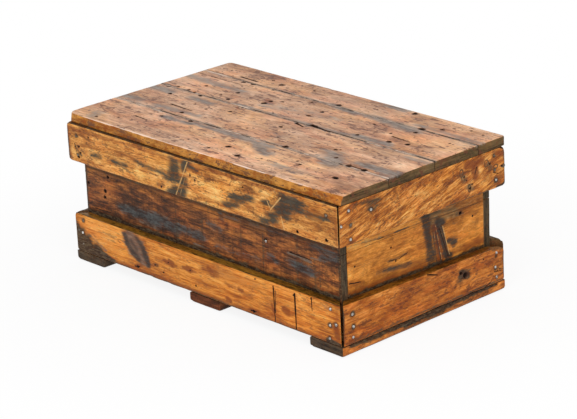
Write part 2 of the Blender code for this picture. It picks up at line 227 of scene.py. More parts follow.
WALL_INNER = ((140, 104, 66), (190, 150, 104))
FINISHES = {
    "lid": Finish(
        # The lid's top colours are a light pinkish tan: the wood's orange tan with a painted varnish sheen
        # in them
        wood=((105, 66, 43), (171, 126, 95), (208, 162, 128), (234, 187, 151), (250, 218, 181)),
        end=((44, 34, 20), (126, 100, 64)),
        side=((136, 72, 16), (214, 148, 66)),
        inner=((148, 108, 70), (196, 154, 108)),
        slate=((50, 48, 48), (116, 106, 98)),
        grey=((66, 65, 66), (158, 144, 132)),
        arris=(255, 226, 204), fleck=(104, 62, 42), flecks=0.85, figure=(0.75, 0.75, 0.3, 0.45),
        hues=(((1.06, 0.80, 0.72), 0.75), ((1.10, 1.00, 0.72), 0.75), ((0.66, 0.74, 0.88), 0.55)),
        along=0.6, across=0.5, rough=0.46,
    ),
    "upper_band": Finish(
        wood=((93, 51, 18), (167, 103, 44), (222, 154, 77), (250, 190, 110), (250, 228, 150)),
        side=((84, 48, 18), (164, 106, 50)),
        slate=((26, 27, 26), (80, 74, 62)),
        grey=((84, 74, 58), (150, 122, 86)),
        arris=(214, 158, 94), fleck=(92, 48, 18), flecks=0.7, figure=(0.7, 0.55, 0.4, 0.6),
        hues=(((1.0, 0.76, 0.60), 0.6), ((1.10, 1.02, 0.70), 0.65), ((0.62, 0.66, 0.66), 0.35)),
        rough=0.40,
    ),
    "figured_band": Finish(
        wood=((91, 43, 12), (147, 81, 26), (193, 119, 46), (229, 155, 76), (250, 197, 118)),
        side=((84, 48, 18), (164, 106, 50)),
        slate=((34, 30, 26), (88, 72, 52)),
        grey=((84, 64, 40), (140, 108, 70)),
        arris=(210, 148, 82), fleck=(84, 40, 14), flecks=0.75, figure=(0.6, 0.85, 0.7, 0.85),
        hues=(((1.0, 0.74, 0.58), 0.6), ((1.12, 1.04, 0.74), 0.7), ((0.62, 0.62, 0.58), 0.4)),
        along=1.1, across=1.3, rough=0.40,
    ),
    "lower_band": Finish(
        wood=((110, 50, 8), (176, 98, 28), (217, 138, 53), (240, 165, 78), (252, 202, 118)),
        side=((58, 38, 2), (152, 108, 36)),
        slate=((36, 30, 29), (92, 74, 62)),
        grey=((66, 54, 50), (128, 106, 94)),
        arris=(212, 148, 80), fleck=(112, 54, 18), flecks=0.55, figure=(0.55, 0.45, 0.5, 0.75),
        hues=(((1.0, 0.74, 0.56), 0.55), ((1.10, 1.02, 0.70), 0.6), ((0.66, 0.64, 0.62), 0.2)),
        along=0.65, across=1.15, rough=0.40,
    ),
    "red_band": Finish(
        wood=((90, 41, 10), (140, 73, 20), (178, 102, 32), (207, 127, 51), (240, 160, 80)),
        side=((66, 38, 2), (146, 92, 26)),
        slate=((46, 34, 24), (98, 72, 48)),
        grey=((84, 60, 38), (142, 104, 66)),
        arris=(194, 124, 62), fleck=(92, 42, 14), flecks=0.75, figure=(0.6, 0.9, 0.65, 0.65),
        hues=(((1.0, 0.74, 0.58), 0.7), ((1.12, 1.04, 0.76), 0.6), ((0.62, 0.60, 0.58), 0.45)),
        rough=0.42,
    ),
    "front_wall": Finish(
        wood=((43, 24, 12), (87, 49, 24), (128, 75, 38), (164, 99, 48), (206, 130, 66)),
        end=((30, 26, 20), (112, 94, 70)),
        side=((52, 34, 20), (96, 62, 36)),
        inner=WALL_INNER,
        slate=((34, 37, 40), (94, 94, 92)),
        grey=((78, 72, 68), (134, 120, 104)),
        arris=(120, 76, 44), fleck=(44, 26, 14), flecks=0.65, figure=(0.75, 0.95, 0.6, 1.0),
        hues=(((1.08, 0.76, 0.62), 0.75), ((1.15, 1.02, 0.70), 0.6), ((0.60, 0.68, 0.80), 0.65)),
        saw=0.25, rough=0.44,
    ),
    "end_wall": Finish(
        wood=((100, 54, 12), (161, 96, 28), (208, 132, 50), (238, 159, 70), (250, 191, 98)),
        end=((42, 36, 26), (92, 76, 54)),
        side=((92, 52, 20), (146, 92, 42)),
        inner=WALL_INNER,
        slate=((27, 26, 26), (76, 66, 56)),
        grey=((112, 84, 48), (176, 132, 78)),
        arris=(174, 112, 54), fleck=(100, 56, 20), flecks=0.4, figure=(0.75, 0.75, 0.4, 0.4),
        hues=(((1.0, 0.74, 0.54), 0.6), ((1.08, 1.02, 0.70), 0.6), ((0.66, 0.64, 0.56), 0.35)),
        rough=0.42,
    ),
    "inside": Finish(
        wood=((110, 77, 46), (152, 113, 73), (180, 140, 96), (202, 162, 116), (225, 186, 138)),
        end=((104, 76, 48), (160, 124, 84)),
        side=((116, 84, 52), (170, 130, 88)),
        inner=((134, 98, 62), (184, 144, 100)),
        slate=((76, 64, 52), (124, 106, 86)),
        grey=((116, 102, 84), (166, 146, 120)),
        arris=(190, 150, 106), fleck=(104, 70, 42), flecks=0.5, figure=(0.6, 0.8, 0.8, 0.5),
        hues=(((1.0, 0.84, 0.72), 0.6), ((1.05, 1.0, 0.80), 0.5), ((0.74, 0.76, 0.80), 0.45)),
        rough=0.70,
    ),
    "red_skid": Finish(
        wood=((55, 29, 15), (81, 46, 25), (104, 60, 34), (129, 77, 44), (153, 97, 58)),
        end=((60, 33, 20), (136, 78, 48)),
        side=((48, 30, 20), (88, 56, 36)),
        inner=((60, 44, 34), (98, 74, 56)),
        slate=((44, 34, 26), (84, 66, 48)),
        grey=((76, 60, 46), (124, 98, 72)),
        arris=(120, 72, 42), fleck=(44, 24, 12), flecks=0.6, figure=(0.6, 0.9, 0.6, 0.6),
        hues=(((1.0, 0.76, 0.62), 0.6), ((1.1, 1.0, 0.72), 0.4), ((0.66, 0.68, 0.70), 0.5)),
        rough=0.55,
    ),
    "skid": Finish(
        wood=((120, 66, 26), (168, 98, 41), (204, 125, 55), (234, 150, 70), (252, 180, 96)),
        end=((40, 33, 27), (98, 82, 66)),
        side=((54, 42, 32), (92, 72, 54)),
        inner=((60, 48, 38), (98, 80, 62)),
        slate=((50, 40, 30), (96, 78, 56)),
        grey=((76, 64, 50), (124, 102, 78)),
        arris=(140, 88, 44), fleck=(72, 40, 18), flecks=0.6, figure=(0.6, 0.9, 0.6, 0.6),
        hues=(((1.0, 0.78, 0.62), 0.6), ((1.1, 1.0, 0.72), 0.5), ((0.66, 0.68, 0.68), 0.5)),
        rough=0.55,
    ),
}
TONE_STOPS = (0.14, 0.36, 0.52, 0.66, 0.88)
PALE_WOOD = (220, 172, 108)
PALE_LIFT = (1.38, 1.34, 1.28, 1.0)
RED_SMUDGE = (122, 54, 14)
# Colours of the dark paint: dirt in most strokes, painted shade in the lines under the lid, under the upper
# bands and at the back corner
GRIME_AND_SHADE = ((26, 21, 16), (92, 78, 58))
OCHRE = ((96, 50, 18), (206, 130, 58))
HOLE_BLACK = (34, 20, 12)
HOLE_RIM = (84, 50, 32)
RIM_OPACITY = 0.75

# Noises: cells to the metre along the grain and across it, detail, roughness and distortion
GRAIN = {
    "drift": (3.5, 9.0, 3.0, 0.55, 0.0),
    "mottle": (19.0, 46.0, 5.0, 0.66, 0.8),
    "rings": (7.0, 105.0, 2.0, 0.5, 0.8),
    "streak": (34.0, 230.0, 3.0, 0.6, 0.6),
    "speck": (115.0, 260.0, 2.0, 0.6, 0.0),
    "fibre": (45.0, 700.0, 2.0, 0.6, 0.0),
}
HUE_GRAIN = [(13.0, 31.0, 6.0, 0.72, 0.5), (8.7, 23.0, 6.0, 0.72, 0.5), (9.3, 37.0, 6.0, 0.72, 0.5)]
SAW_GRAIN = (210.0, 11.0, 3.0, 0.6, 0.3)
END_GRAIN = (60.0, 26.0, 4.0, 0.65, 0.4)
END_GRAIN_THROUGH = 190.0
SEED_SHIFTS = (0.377, 0.713, 0.191)
SHIFT_LIMIT = 3.0

# How far each noise counts, by what it is used for
WEIGHTS = {
    "face": {"fibre": 0.45, "speck": 0.35},
    "side": {"speck": 0.9, "streak": 0.5},
    "end": {"speck": 0.35, "drift": 0.3},
    "dashes": {"mottle": -0.6, "speck": 0.5},
    "dots": {"mottle": -0.5, "drift": -0.3},
    "pale": {"mottle": 0.4, "streak": 0.3},
    "broken": {"mottle": 0.6, "fibre": 0.4},
    "stain": {"streak": 1.3, "speck": 1.2, "mottle": 1.1, "fibre": 0.8},
    "grime": {"streak": 0.6},
    "pit": {"speck": 0.7, "streak": 0.5},
    "rough": {"mottle": 0.35},
    "relief": {"streak": 0.6, "rings": 0.5, "fibre": 0.4},
}
STAIN_MIDDLE = 0.42
TINT_WEIGHT = 0.4
FLECKS_INSIDE = -0.7

# Values at which a thing starts to show and is whole
FADES = {
    "hue": (0.44, 0.68),
    "dashes": (0.58, 0.66),
    "dots": (0.60, 0.67),
    "pale": (0.42, 0.30),
    "painted": (0.02, 0.30),
    "holed": (0.02, 0.20),
    "rim": (0.05, 0.45),
    "hole": (0.40, 0.80),
}

# Values at which a pair of colours is all dark and all light
TWO_TONES = {
    "inner": (0.25, 0.75),
    "side": (0.25, 0.75),
    "end": (0.30, 0.68),
    "ochre": (0.20, 0.80),
    "grey": (0.10, 0.80),
    "slate": (0.10, 0.90),
    "grime": (0.42, 0.70),
}

# Paints: how opaque, the masks where they start and are whole, and how streaks and specks break them up
PAINTS = {
    "ochre": (0.75, 0.10, 0.95, 1.1, 0.8),
    "red": (0.80, 0.15, 1.00, 1.1, 0.8),
    "grey": (0.88, 0.00, 1.05, 1.1, 0.8),
    "slate": (0.97, 0.05, 1.10, 1.6, 0.8),
    "grime": (0.94, 0.10, 0.80, 1.1, 0.8),
    # The arris paint is the pale edge: partly worn wood, partly a painted highlight
    "arris": (0.80, 0.40, 0.95, 1.1, 0.8),
    "bare": (0.80, 0.35, 0.95, 0.5, 0.9),
}

# What changes the roughness and the relief
STAIN_ROUGHNESS = 0.15
OPEN_GRAIN_ROUGHNESS = 0.25
FLECK_RELIEF = -0.35
STAIN_RELIEF = -0.7
WOOD_BUMP = 0.6
WOOD_RELIEF = 0.0014
WOOD_SHINE = 0.14


def wood_material(name, finish, grain, thin, seed, tilt=0.0):
    """Varnished pine with grain along one axis; the mesh's paint says where it is stained or holed, and
    where shade and highlights are painted.
    """
    look = FINISHES[finish]
    material, nodes, shader = new_material(name)
    turn = [0.0, 0.0, 0.0]
    turn[1 - grain] = tilt
    mapping = {
        "Vector": nodes.add("TexCoord").outputs["Object"],
        "Location": [seed * shift % SHIFT_LIMIT for shift in SEED_SHIFTS],
        "Rotation": turn,
    }
    coords = nodes.add("Mapping", mapping).outputs[0]

    def noise(along, across, *settings, through=None):
        scale = [across * look.across] * 3
        scale[grain] = along * look.along
        if through:
            scale[thin] = through
        return nodes.noise(coords, scale, *settings)

    grains = {kind: noise(*values) for kind, values in GRAIN.items()}
    speck = grains["speck"]

    def weigh(start, use):
        return nodes.weigh(start, *((grains[kind], weight) for kind, weight in WEIGHTS[use].items()))

    def fade(value, use):
        return nodes.fade(value, *FADES[use])

    def two_tone(value, pair, use):
        return nodes.ramp(value, zip(TWO_TONES[use], pair))

    names = ("zone", "paint", "tint")
    layers = {layer: nodes.add("Attribute", attribute_name=layer).outputs for layer in names}
    zones, paints, tints = (
        nodes.add("SeparateColor", {0: layer["Color"]}).outputs for layer in layers.values()
    )

    # Bare wood by its outer face, inner face, sides and ends
    tone = weigh(nodes.weigh(MIDDLE, *zip(grains.values(), look.figure)), "face")
    tone = nodes.weigh(tone, (layers["tint"]["Alpha"], TINT_WEIGHT))
    if look.saw:
        tone = nodes.weigh(tone, (noise(*SAW_GRAIN), look.saw))
    colour = nodes.ramp(tone, zip(TONE_STOPS, look.wood))
    colour = nodes.mix(zones["Blue"], colour, two_tone(tone, look.inner, "inner"))
    colour = nodes.mix(zones["Green"], colour, two_tone(weigh(tone, "side"), look.side, "side"))
    end_tone = weigh(noise(*END_GRAIN, through=END_GRAIN_THROUGH), "end")
    colour = nodes.mix(zones["Red"], colour, two_tone(end_tone, look.end, "end"))

    # Drifts of hue, dark flecks and pale ones
    for values, (shade, amount) in zip(HUE_GRAIN, look.hues):
        share = nodes.times(fade(noise(*values), "hue"), amount)
        colour = nodes.mix(share, colour, (*shade, 1.0), "MULTIPLY")
    dashes = fade(weigh(grains["streak"], "dashes"), "dashes")
    dots = fade(weigh(speck, "dots"), "dots")
    flecks = nodes.times(nodes.most(dashes, dots), look.flecks)
    flecks = nodes.times(flecks, nodes.onto(1.0, zones["Blue"], FLECKS_INSIDE))
    colour = nodes.mix(flecks, colour, srgb(*look.fleck))
    pale = nodes.times(fade(weigh(speck, "pale"), "pale"), look.flecks)
    colour = nodes.mix(pale, colour, PALE_LIFT, "MULTIPLY")

    def lay(under, kind, mask, over):
        """A paint laid over the colour, broken up along the grain; also where it lies."""
        opacity, low, high, streaks, specks = PAINTS[kind]
        broken = weigh(nodes.weigh(mask, (grains["streak"], streaks), (speck, specks)), "broken")
        there = nodes.times(nodes.fade(broken, low, high), fade(mask, "painted"))
        return nodes.mix(nodes.times(there, opacity), under, over), there

    stain = weigh(STAIN_MIDDLE, "stain")
    colour, _ = lay(colour, "ochre", tints["Blue"], two_tone(tone, OCHRE, "ochre"))
    colour, _ = lay(colour, "red", tints["Red"], srgb(*RED_SMUDGE))
    colour, _ = lay(colour, "grey", paints["Green"], two_tone(stain, look.grey, "grey"))
    colour, slate = lay(colour, "slate", paints["Red"], two_tone(stain, look.slate, "slate"))
    # Dark paint: dirt in most strokes, painted shade under the lid, under the upper bands and at the back
    # corner
    colour, grime = lay(colour, "grime", tints["Green"], two_tone(weigh(speck, "grime"), GRIME_AND_SHADE, "grime"))
    # The pale edge along the arrises: partly worn wood, partly a painted highlight
    colour, _ = lay(colour, "arris", layers["zone"]["Alpha"], srgb(*look.arris))
    colour, _ = lay(colour, "bare", paints["Blue"], srgb(*PALE_WOOD))

    # Holes, with a brown rim
    depth = layers["paint"]["Alpha"]
    pit = nodes.times(weigh(depth, "pit"), fade(depth, "holed"))
    colour = nodes.mix(nodes.times(fade(pit, "rim"), RIM_OPACITY), colour, srgb(*HOLE_RIM))
    hole = fade(pit, "hole")
    colour = nodes.mix(hole, colour, srgb(*HOLE_BLACK))

    # Roughness and relief
    stained = nodes.most(slate, grime)
    rough = nodes.onto(weigh(look.rough, "rough"), stained, STAIN_ROUGHNESS)
    rough = nodes.onto(rough, nodes.most(zones["Red"], hole), OPEN_GRAIN_ROUGHNESS)
    height = nodes.onto(weigh(MIDDLE, "relief"), flecks, FLECK_RELIEF)
    height = nodes.onto(height, stained, nodes.times(speck, STAIN_RELIEF))
    bump = nodes.bump(height, WOOD_BUMP, WOOD_RELIEF)
    inputs = {"Base Color": colour, "Roughness": rough, "Normal": bump, "Specular IOR Level": WOOD_SHINE}
    nodes.plug(shader, inputs)
    return material


# Steel

RUST = (92, 58, 38)
RUBBED_STEEL = (168, 162, 154)
SCUFF_NOISE = ((900.0, 900.0, 900.0), 2.0, 0.6)
PATCH_NOISE = ((70.0, 70.0, 70.0), 3.0, 0.6)
DULL_NOISE = (4.0, 0.65)
PATCH_WEIGHT = 0.6
DULL_STOPS = (0.35, 0.62)
RUST_FADE = (0.80, 0.64)
EDGE_FADE = (0.995, 0.90)
SCUFF_FADE = (0.35, 0.60)
RUB_OPACITY = 0.7
SMOOTHEST_SCUFF = -0.12
SCUFF_ROUGHNESS = 0.25
RUST_ROUGHNESS = 0.35
RUST_DULLNESS = 0.8
STEEL_BUMP = 0.4
STEEL_RELIEF = 0.0004


def steel_material(name, bright, dark, roughness, rust, grain=160.0, edge=0.0003):
    """Scuffed steel, dark where dull, rusty in its worst patches and rubbed bright along its edges."""
    material, nodes, shader = new_material(name)
    place = nodes.add("TexCoord").outputs["Object"]
    scuff = nodes.noise(place, *SCUFF_NOISE)
    dull = nodes.noise(place, (grain,) * 3, *DULL_NOISE)
    patch = nodes.noise(place, *PATCH_NOISE)
    colour = nodes.ramp(dull, zip(DULL_STOPS, (dark, bright)))
    rusty = nodes.times(nodes.fade(nodes.onto(dull, patch, PATCH_WEIGHT), *RUST_FADE), rust)
    colour = nodes.mix(rusty, colour, srgb(*RUST))
    soft = nodes.add("Bevel", {"Radius": edge}).outputs[0]
    plain = nodes.add("NewGeometry").outputs["Normal"]
    turned = nodes.add("VectorMath", {0: soft, 1: plain}, operation="DOT_PRODUCT").outputs["Value"]
    rubbed = nodes.times(nodes.fade(turned, *EDGE_FADE), nodes.fade(scuff, *SCUFF_FADE))
    colour = nodes.mix(nodes.times(rubbed, RUB_OPACITY), colour, srgb(*RUBBED_STEEL))
    rough = nodes.onto(roughness + SMOOTHEST_SCUFF, scuff, SCUFF_ROUGHNESS)
    rough = nodes.onto(rough, rusty, RUST_ROUGHNESS)
    metal = nodes.calc("SUBTRACT", 1.0, nodes.times(rusty, RUST_DULLNESS))
    bump = nodes.bump(dull, STEEL_BUMP, STEEL_RELIEF)
    nodes.plug(shader, {"Base Color": colour, "Roughness": rough, "Metallic": metal, "Normal": bump})
    return material


# Marks on the faces the photograph shows, in millimetres on the face: x and y on the lid,
# x and z on the front, y and z on the right end.
# A hole is (u, v, radius), and a slit runs from a point to a point with a radius.
# A stroke of paint has two points, a radius, the radius at its end if that differs, and a strength.
# A ring is a paint, the middle of an oval, its two half widths, the line's radius and a strength.
LID_MARKS = {
    "holes": [
        (-188, 184, 6), (-239, 150, 5.4), (-267, 146, 4.2), (-175, 149, 4.2), (-104, 200, 3),
        (7, 162, 5.8), (-123, 92, 5.4), (-124, 74, 6.4), (-219, 88, 5.2), (-239, 57, 3.2),
        (-202, 45, 4.8), (-294, 33, 4.6), (-317, 37, 4.2), (-268, 25, 4.4), (-136, 24, 3.2),
        (70, 34, 6), (-232, -21, 3.4), (-211, -76, 5.2), (-225, -118, 4.8), (27, -162, 6.4),
        (81, -188, 6), (203, -41, 4), (211, -35, 2.8), (290, -91, 6), (330, -91, 6.2), (114, -91, 6),
        (320, -157, 5.4), (244, 157, 6.2), (290, 70, 5.4), (172, 50, 4.2), (217, 98, 3.2),
        (168, 219, 6), (280, 179, 4.4), (-70, -182, 2.8), (-354, 39, 3.6), (365, 205, 2.8),
        (152, 118, 2.8), (-30, -60, 2.4), (-330, -205, 3.8), (-100, 105, 2.8), (330, 210, 2.6),
        (12, 108, 4.2), (8, 74, 4.4), (-309, 79, 4), (-328, -6, 4.2), (16, -11, 4), (-189, -29, 3.4),
        (2, -191, 3.6), (239, -74, 5), (316, -157, 4.2), (195, -135, 3.4), (213, -147, 3.6),
        (252, 132, 4.6), (250, 59, 5), (-225, 196, 3.6), (-50, 140, 3.4), (-153, -102, 5.6),
        (-136, -9, 4.4), (349, 127, 2.8), (60, -60, 2.2), (-290, -180, 2.4), (130, -170, 2.4),
        (-60, 40, 2.2), (340, 60, 2.6), (-350, 190, 2.4), (90, 190, 2.4),
    ],
    "slits": [
        (-271, -52, -204, -55, 2.2), (-269, -151, -231, -153, 2), (233, 87, 283, 83, 2.2),
        (24, 25, 52, 17, 2.8), (89, 31, 117, 27, 2.6), (-298, 170, -245, 167, 3),
        (-400, 133, -300, 131, 1.3), (-300, 131, -212, 134, 1), (-372, 25, -345, 41, 2.6),
        (58, 36, 84, 32, 4.2), (300, -90, 326, -91, 2.2), (-400, 160, -275, 158, 1.1),
    ],
    "slate": [
        (95, 224, 130, 226, 5, 0.8), (-2, 163, 20, 152, 6, 8, 0.7), (60, 35, 85, 33, 7, 6, 0.8),
        (-298, 169, -245, 168, 4, 0.8), (20, 150, 60, 148, 4, 0.5), (268, 180, 288, 176, 6, 5, 0.7),
        (90, -140, 110, -148, 7, 0.6), (-160, -112, -140, -114, 6, 0.7), (-398, 40, -330, 26, 4, 0.6),
        (225, -48, 250, -52, 6, 4, 0.5),
    ],
    "grey": [
        (-5, 155, 70, 146, 13, 17, 1), (70, 146, 130, 150, 12, 0.8), (124, 152, 236, 140, 17, 22, 1),
        (230, 170, 395, 166, 13, 12, 0.69), (85, 222, 140, 222, 12, 1), (-157, 36, 150, 36, 8, 9, 0.75),
        (174, 46, 255, 44, 16, 18, 1), (-385, 105, -225, 100, 23, 18, 0.8),
        (-388, 5, -345, 4, 25, 20, 1), (-262, 6, -214, 2, 17, 13, 0.92),
        (-388, -74, -350, -72, 20, 16, 0.8), (-282, -76, -172, -70, 16, 13, 0.8),
        (-133, -108, 86, -110, 12, 18, 1), (-220, -116, -140, -116, 12, 10, 0.92),
        (60, -116, 112, -142, 14, 18, 1), (218, -60, 262, -110, 23, 0.92),
        (311, -70, 397, -70, 20, 22, 1), (-350, -185, -336, -214, 13, 0.69),
        (174, -178, 236, -180, 16, 14, 0.69), (350, 14, 398, 14, 13, 16, 0.69),
        (-100, 70, 60, 95, 26, 0.46), (40, -50, 140, -55, 18, 13, 0.4),
    ],
    "red": [
        (-134, 92, -112, 82, 13, 11, 1), (-398, -150, -370, -150, 8, 6, 0.5),
        (110, 190, 120, 175, 7, 6, 0.4), (-190, -130, -186, -150, 4, 0.5), (140, 120, 175, 118, 6, 0.4),
    ],
    "ochre": [(-200, 205, -60, 200, 8, 0.3)],
    "light": [
        (-330, -85, -292, -85, 22, 0.5), (15, -92, 60, -98, 20, 0.5), (-120, 32, 210, 34, 26, 0.35),
        (115, 86, 215, 84, 24, 0.5), (20, -22, 70, -22, 22, 0.4),
    ],
    "dark": [
        (325, -190, 375, -172, 44, 1), (255, -92, 300, -84, 28, 0.8), (285, 16, 345, 20, 32, 0.5),
        (205, 192, 335, 180, 38, 0.5), (340, 148, 385, 160, 26, 0.35),
        (-380, -135, -270, -135, 22, 0.3), (-120, 200, 120, 198, 20, 0.25),
    ],
    "rings": [("red", -136, 24, 13, 10, 2.4, 0.9), ("grime", -136, 24, 9, 7, 1.6, 0.5)],
}
FRONT_UPPER_MARKS = {
    "holes": [
        (-365, 258, 3), (-367, 236, 3.6), (-360, 246, 2.6), (-14, 274, 2.4), (0, 267, 2.8),
        (289, 230, 3), (367, 232, 3.8), (-104, 230, 2.6), (-330, 286, 2), (140, 285, 2),
    ],
    "slits": [(-376, 262, -372, 240, 1.4)],
    "slate": [
        (-318, 249, -296, 250, 8, 7, 0.9), (-250, 250, -215, 249, 9, 8, 1),
        (-178, 267, -158, 264, 8, 0.9), (-148, 262, -92, 260, 9, 8, 0.8), (-62, 288, -60, 258, 18, 1),
        (-80, 252, -54, 262, 15, 14, 0.9), (-72, 226, -56, 236, 14, 1), (-34, 262, -42, 228, 13, 1),
        (-26, 296, -32, 280, 13, 11, 1), (-16, 293, 6, 289, 9, 0.85), (106, 258, 160, 266, 10, 11, 1),
        (90, 239, 118, 243, 12, 11, 1), (108, 250, 142, 257, 9, 10, 0.9), (200, 267, 207, 268, 9, 1.1),
        (250, 291, 300, 289, 14, 12, 1), (254, 274, 297, 275, 15, 13, 1),
        (232, 262, 258, 252, 14, 12, 1), (212, 244, 240, 256, 12, 1), (193, 227, 224, 240, 11, 1),
        (300, 272, 372, 275, 8, 6, 0.85), (316, 264, 360, 268, 4, 0.6), (248, 283, 294, 282, 10, 9, 1),
        (240, 268, 262, 263, 12, 11, 1),
    ],
    "bare": [
        (-20, 300, -61, 221, 1.8, 0.8), (-30, 264, -48, 224, 1.3, 0.6), (246, 288, 215, 256, 1.8, 0.9),
        (245, 250, 253, 224, 1.9, 0.9), (230, 298, 204, 278, 5, 0.6), (208, 273, 217, 257, 1.6, 0.8),
        (-330, 280, -240, 283, 7, 6, 0.3), (20, 280, 120, 240, 14, 0.3),
    ],
    "red": [
        (-18, 293, 8, 288, 11, 1), (-22, 273, 8, 268, 6, 0.6), (-396, 292, -396, 230, 10, 11, 0.9),
        (-384, 294, -352, 292, 8, 7, 0.6), (-225, 277, -222, 274, 6, 0.6),
        # The first stroke on the next line is a painted reddish shadow along the top edge, under the lid
        (-340, 296, 380, 300, 4, 5, 0.6), (280, 240, 380, 232, 5, 7, 0.3), (392, 296, 394, 228, 6, 0.6),
    ],
    "grime": [(-398, 290, -398, 232, 5, 6, 0.8), (-374, 256, -358, 240, 6, 0.6)],
    "light": [
        (-385, 260, -320, 266, 20, 24, 0.3), (0, 276, 75, 258, 26, 28, 0.9),
        (90, 288, 130, 284, 18, 16, 1.2), (-255, 238, -225, 240, 12, 0.5),
        (180, 290, 225, 284, 16, 0.6), (-80, 290, -50, 286, 12, 0.4),
    ],
    "dark": [
        (-390, 290, -345, 288, 12, 0.7), (-240, 262, -200, 268, 24, 0.5), (350, 262, 390, 262, 26, 0.7),
        (-150, 238, -105, 236, 14, 0.5), (330, 290, 385, 288, 12, 0.4),
    ],
}
FRONT_WALL_MARKS = {
    "holes": [(-314, 166, 4.2), (-317, 152, 3.4), (-302, 199, 3.6), (-368, 172, 3.6), (172, 178, 3.4)],
    "slits": [(-350, 120, -300, 121, 1), (240, 170, 300, 168, 1.2)],
    "slate": [
        (-262, 142, -205, 140, 15, 17, 0.95), (-205, 142, -150, 140, 18, 1),
        (-150, 145, -92, 138, 18, 15, 0.95), (-84, 142, -15, 138, 14, 0.85),
        (12, 172, 40, 167, 10, 9, 0.8), (45, 203, 48, 190, 6, 0.7), (186, 148, 202, 140, 10, 9, 0.8),
        (243, 150, 297, 144, 14, 0.9), (312, 198, 374, 194, 12, 0.95), (326, 180, 372, 186, 10, 0.85),
        (30, 130, 150, 132, 8, 0.5), (60, 200, 240, 203, 5, 6, 0.5),
    ],
    "grey": [
        (-246, 150, -218, 134, 5, 0.8), (-178, 142, -158, 132, 6, 0.8), (-128, 130, -98, 130, 5, 0.7),
        (-205, 126, -150, 122, 4, 0.6), (236, 168, 297, 165, 4, 0.9), (300, 173, 342, 177, 3, 0.8),
        (-40, 118, 0, 117, 3, 0.8),
    ],
    "red": [(-360, 160, -270, 172, 14, 12, 0.4), (90, 150, 180, 150, 12, 0.4)],
    "grime": [
        (-92, 204, -90, 114, 4, 5, 0.45), (-14, 180, -12, 114, 4, 5, 0.4), (8, 204, 10, 150, 4, 0.35),
        (102, 190, 100, 114, 4, 5, 0.45), (166, 190, 164, 114, 4, 0.45), (262, 200, 260, 114, 4, 0.4),
        (308, 170, 310, 114, 4, 0.5), (322, 170, 322, 120, 3, 0.5), (-376, 205, -376, 112, 7, 0.7),
        # Of the strokes that follow, the one at 108 mm is a dark line where the wall meets the ledge,
        # partly dirt and partly painted shade; the ones at 222 and 207 mm are a painted shadow under the
        # upper band
        (376, 205, 376, 112, 6, 0.7), (-370, 110, 370, 108, 6, 0.9), (-375, 222, 375, 222, 5, 0.9),
        (-375, 208, 375, 207, 5, 0.62),
    ],
    "ochre": [
        (-362, 206, -60, 206, 14, 13, 0.8), (-60, 202, 170, 200, 13, 12, 0.9),
        (-300, 180, -230, 182, 8, 0.5), (60, 168, 140, 172, 8, 0.5), (300, 130, 372, 124, 8, 0.6),
        (-120, 178, -60, 176, 7, 0.4), (140, 160, 180, 156, 6, 0.5),
    ],
    "light": [
        (-360, 196, -320, 168, 24, 1), (-120, 200, 110, 198, 14, 0.35), (-70, 170, 150, 172, 14, 0.3),
        (310, 158, 366, 150, 20, 0.9), (268, 166, 300, 160, 14, 0.5),
    ],
}
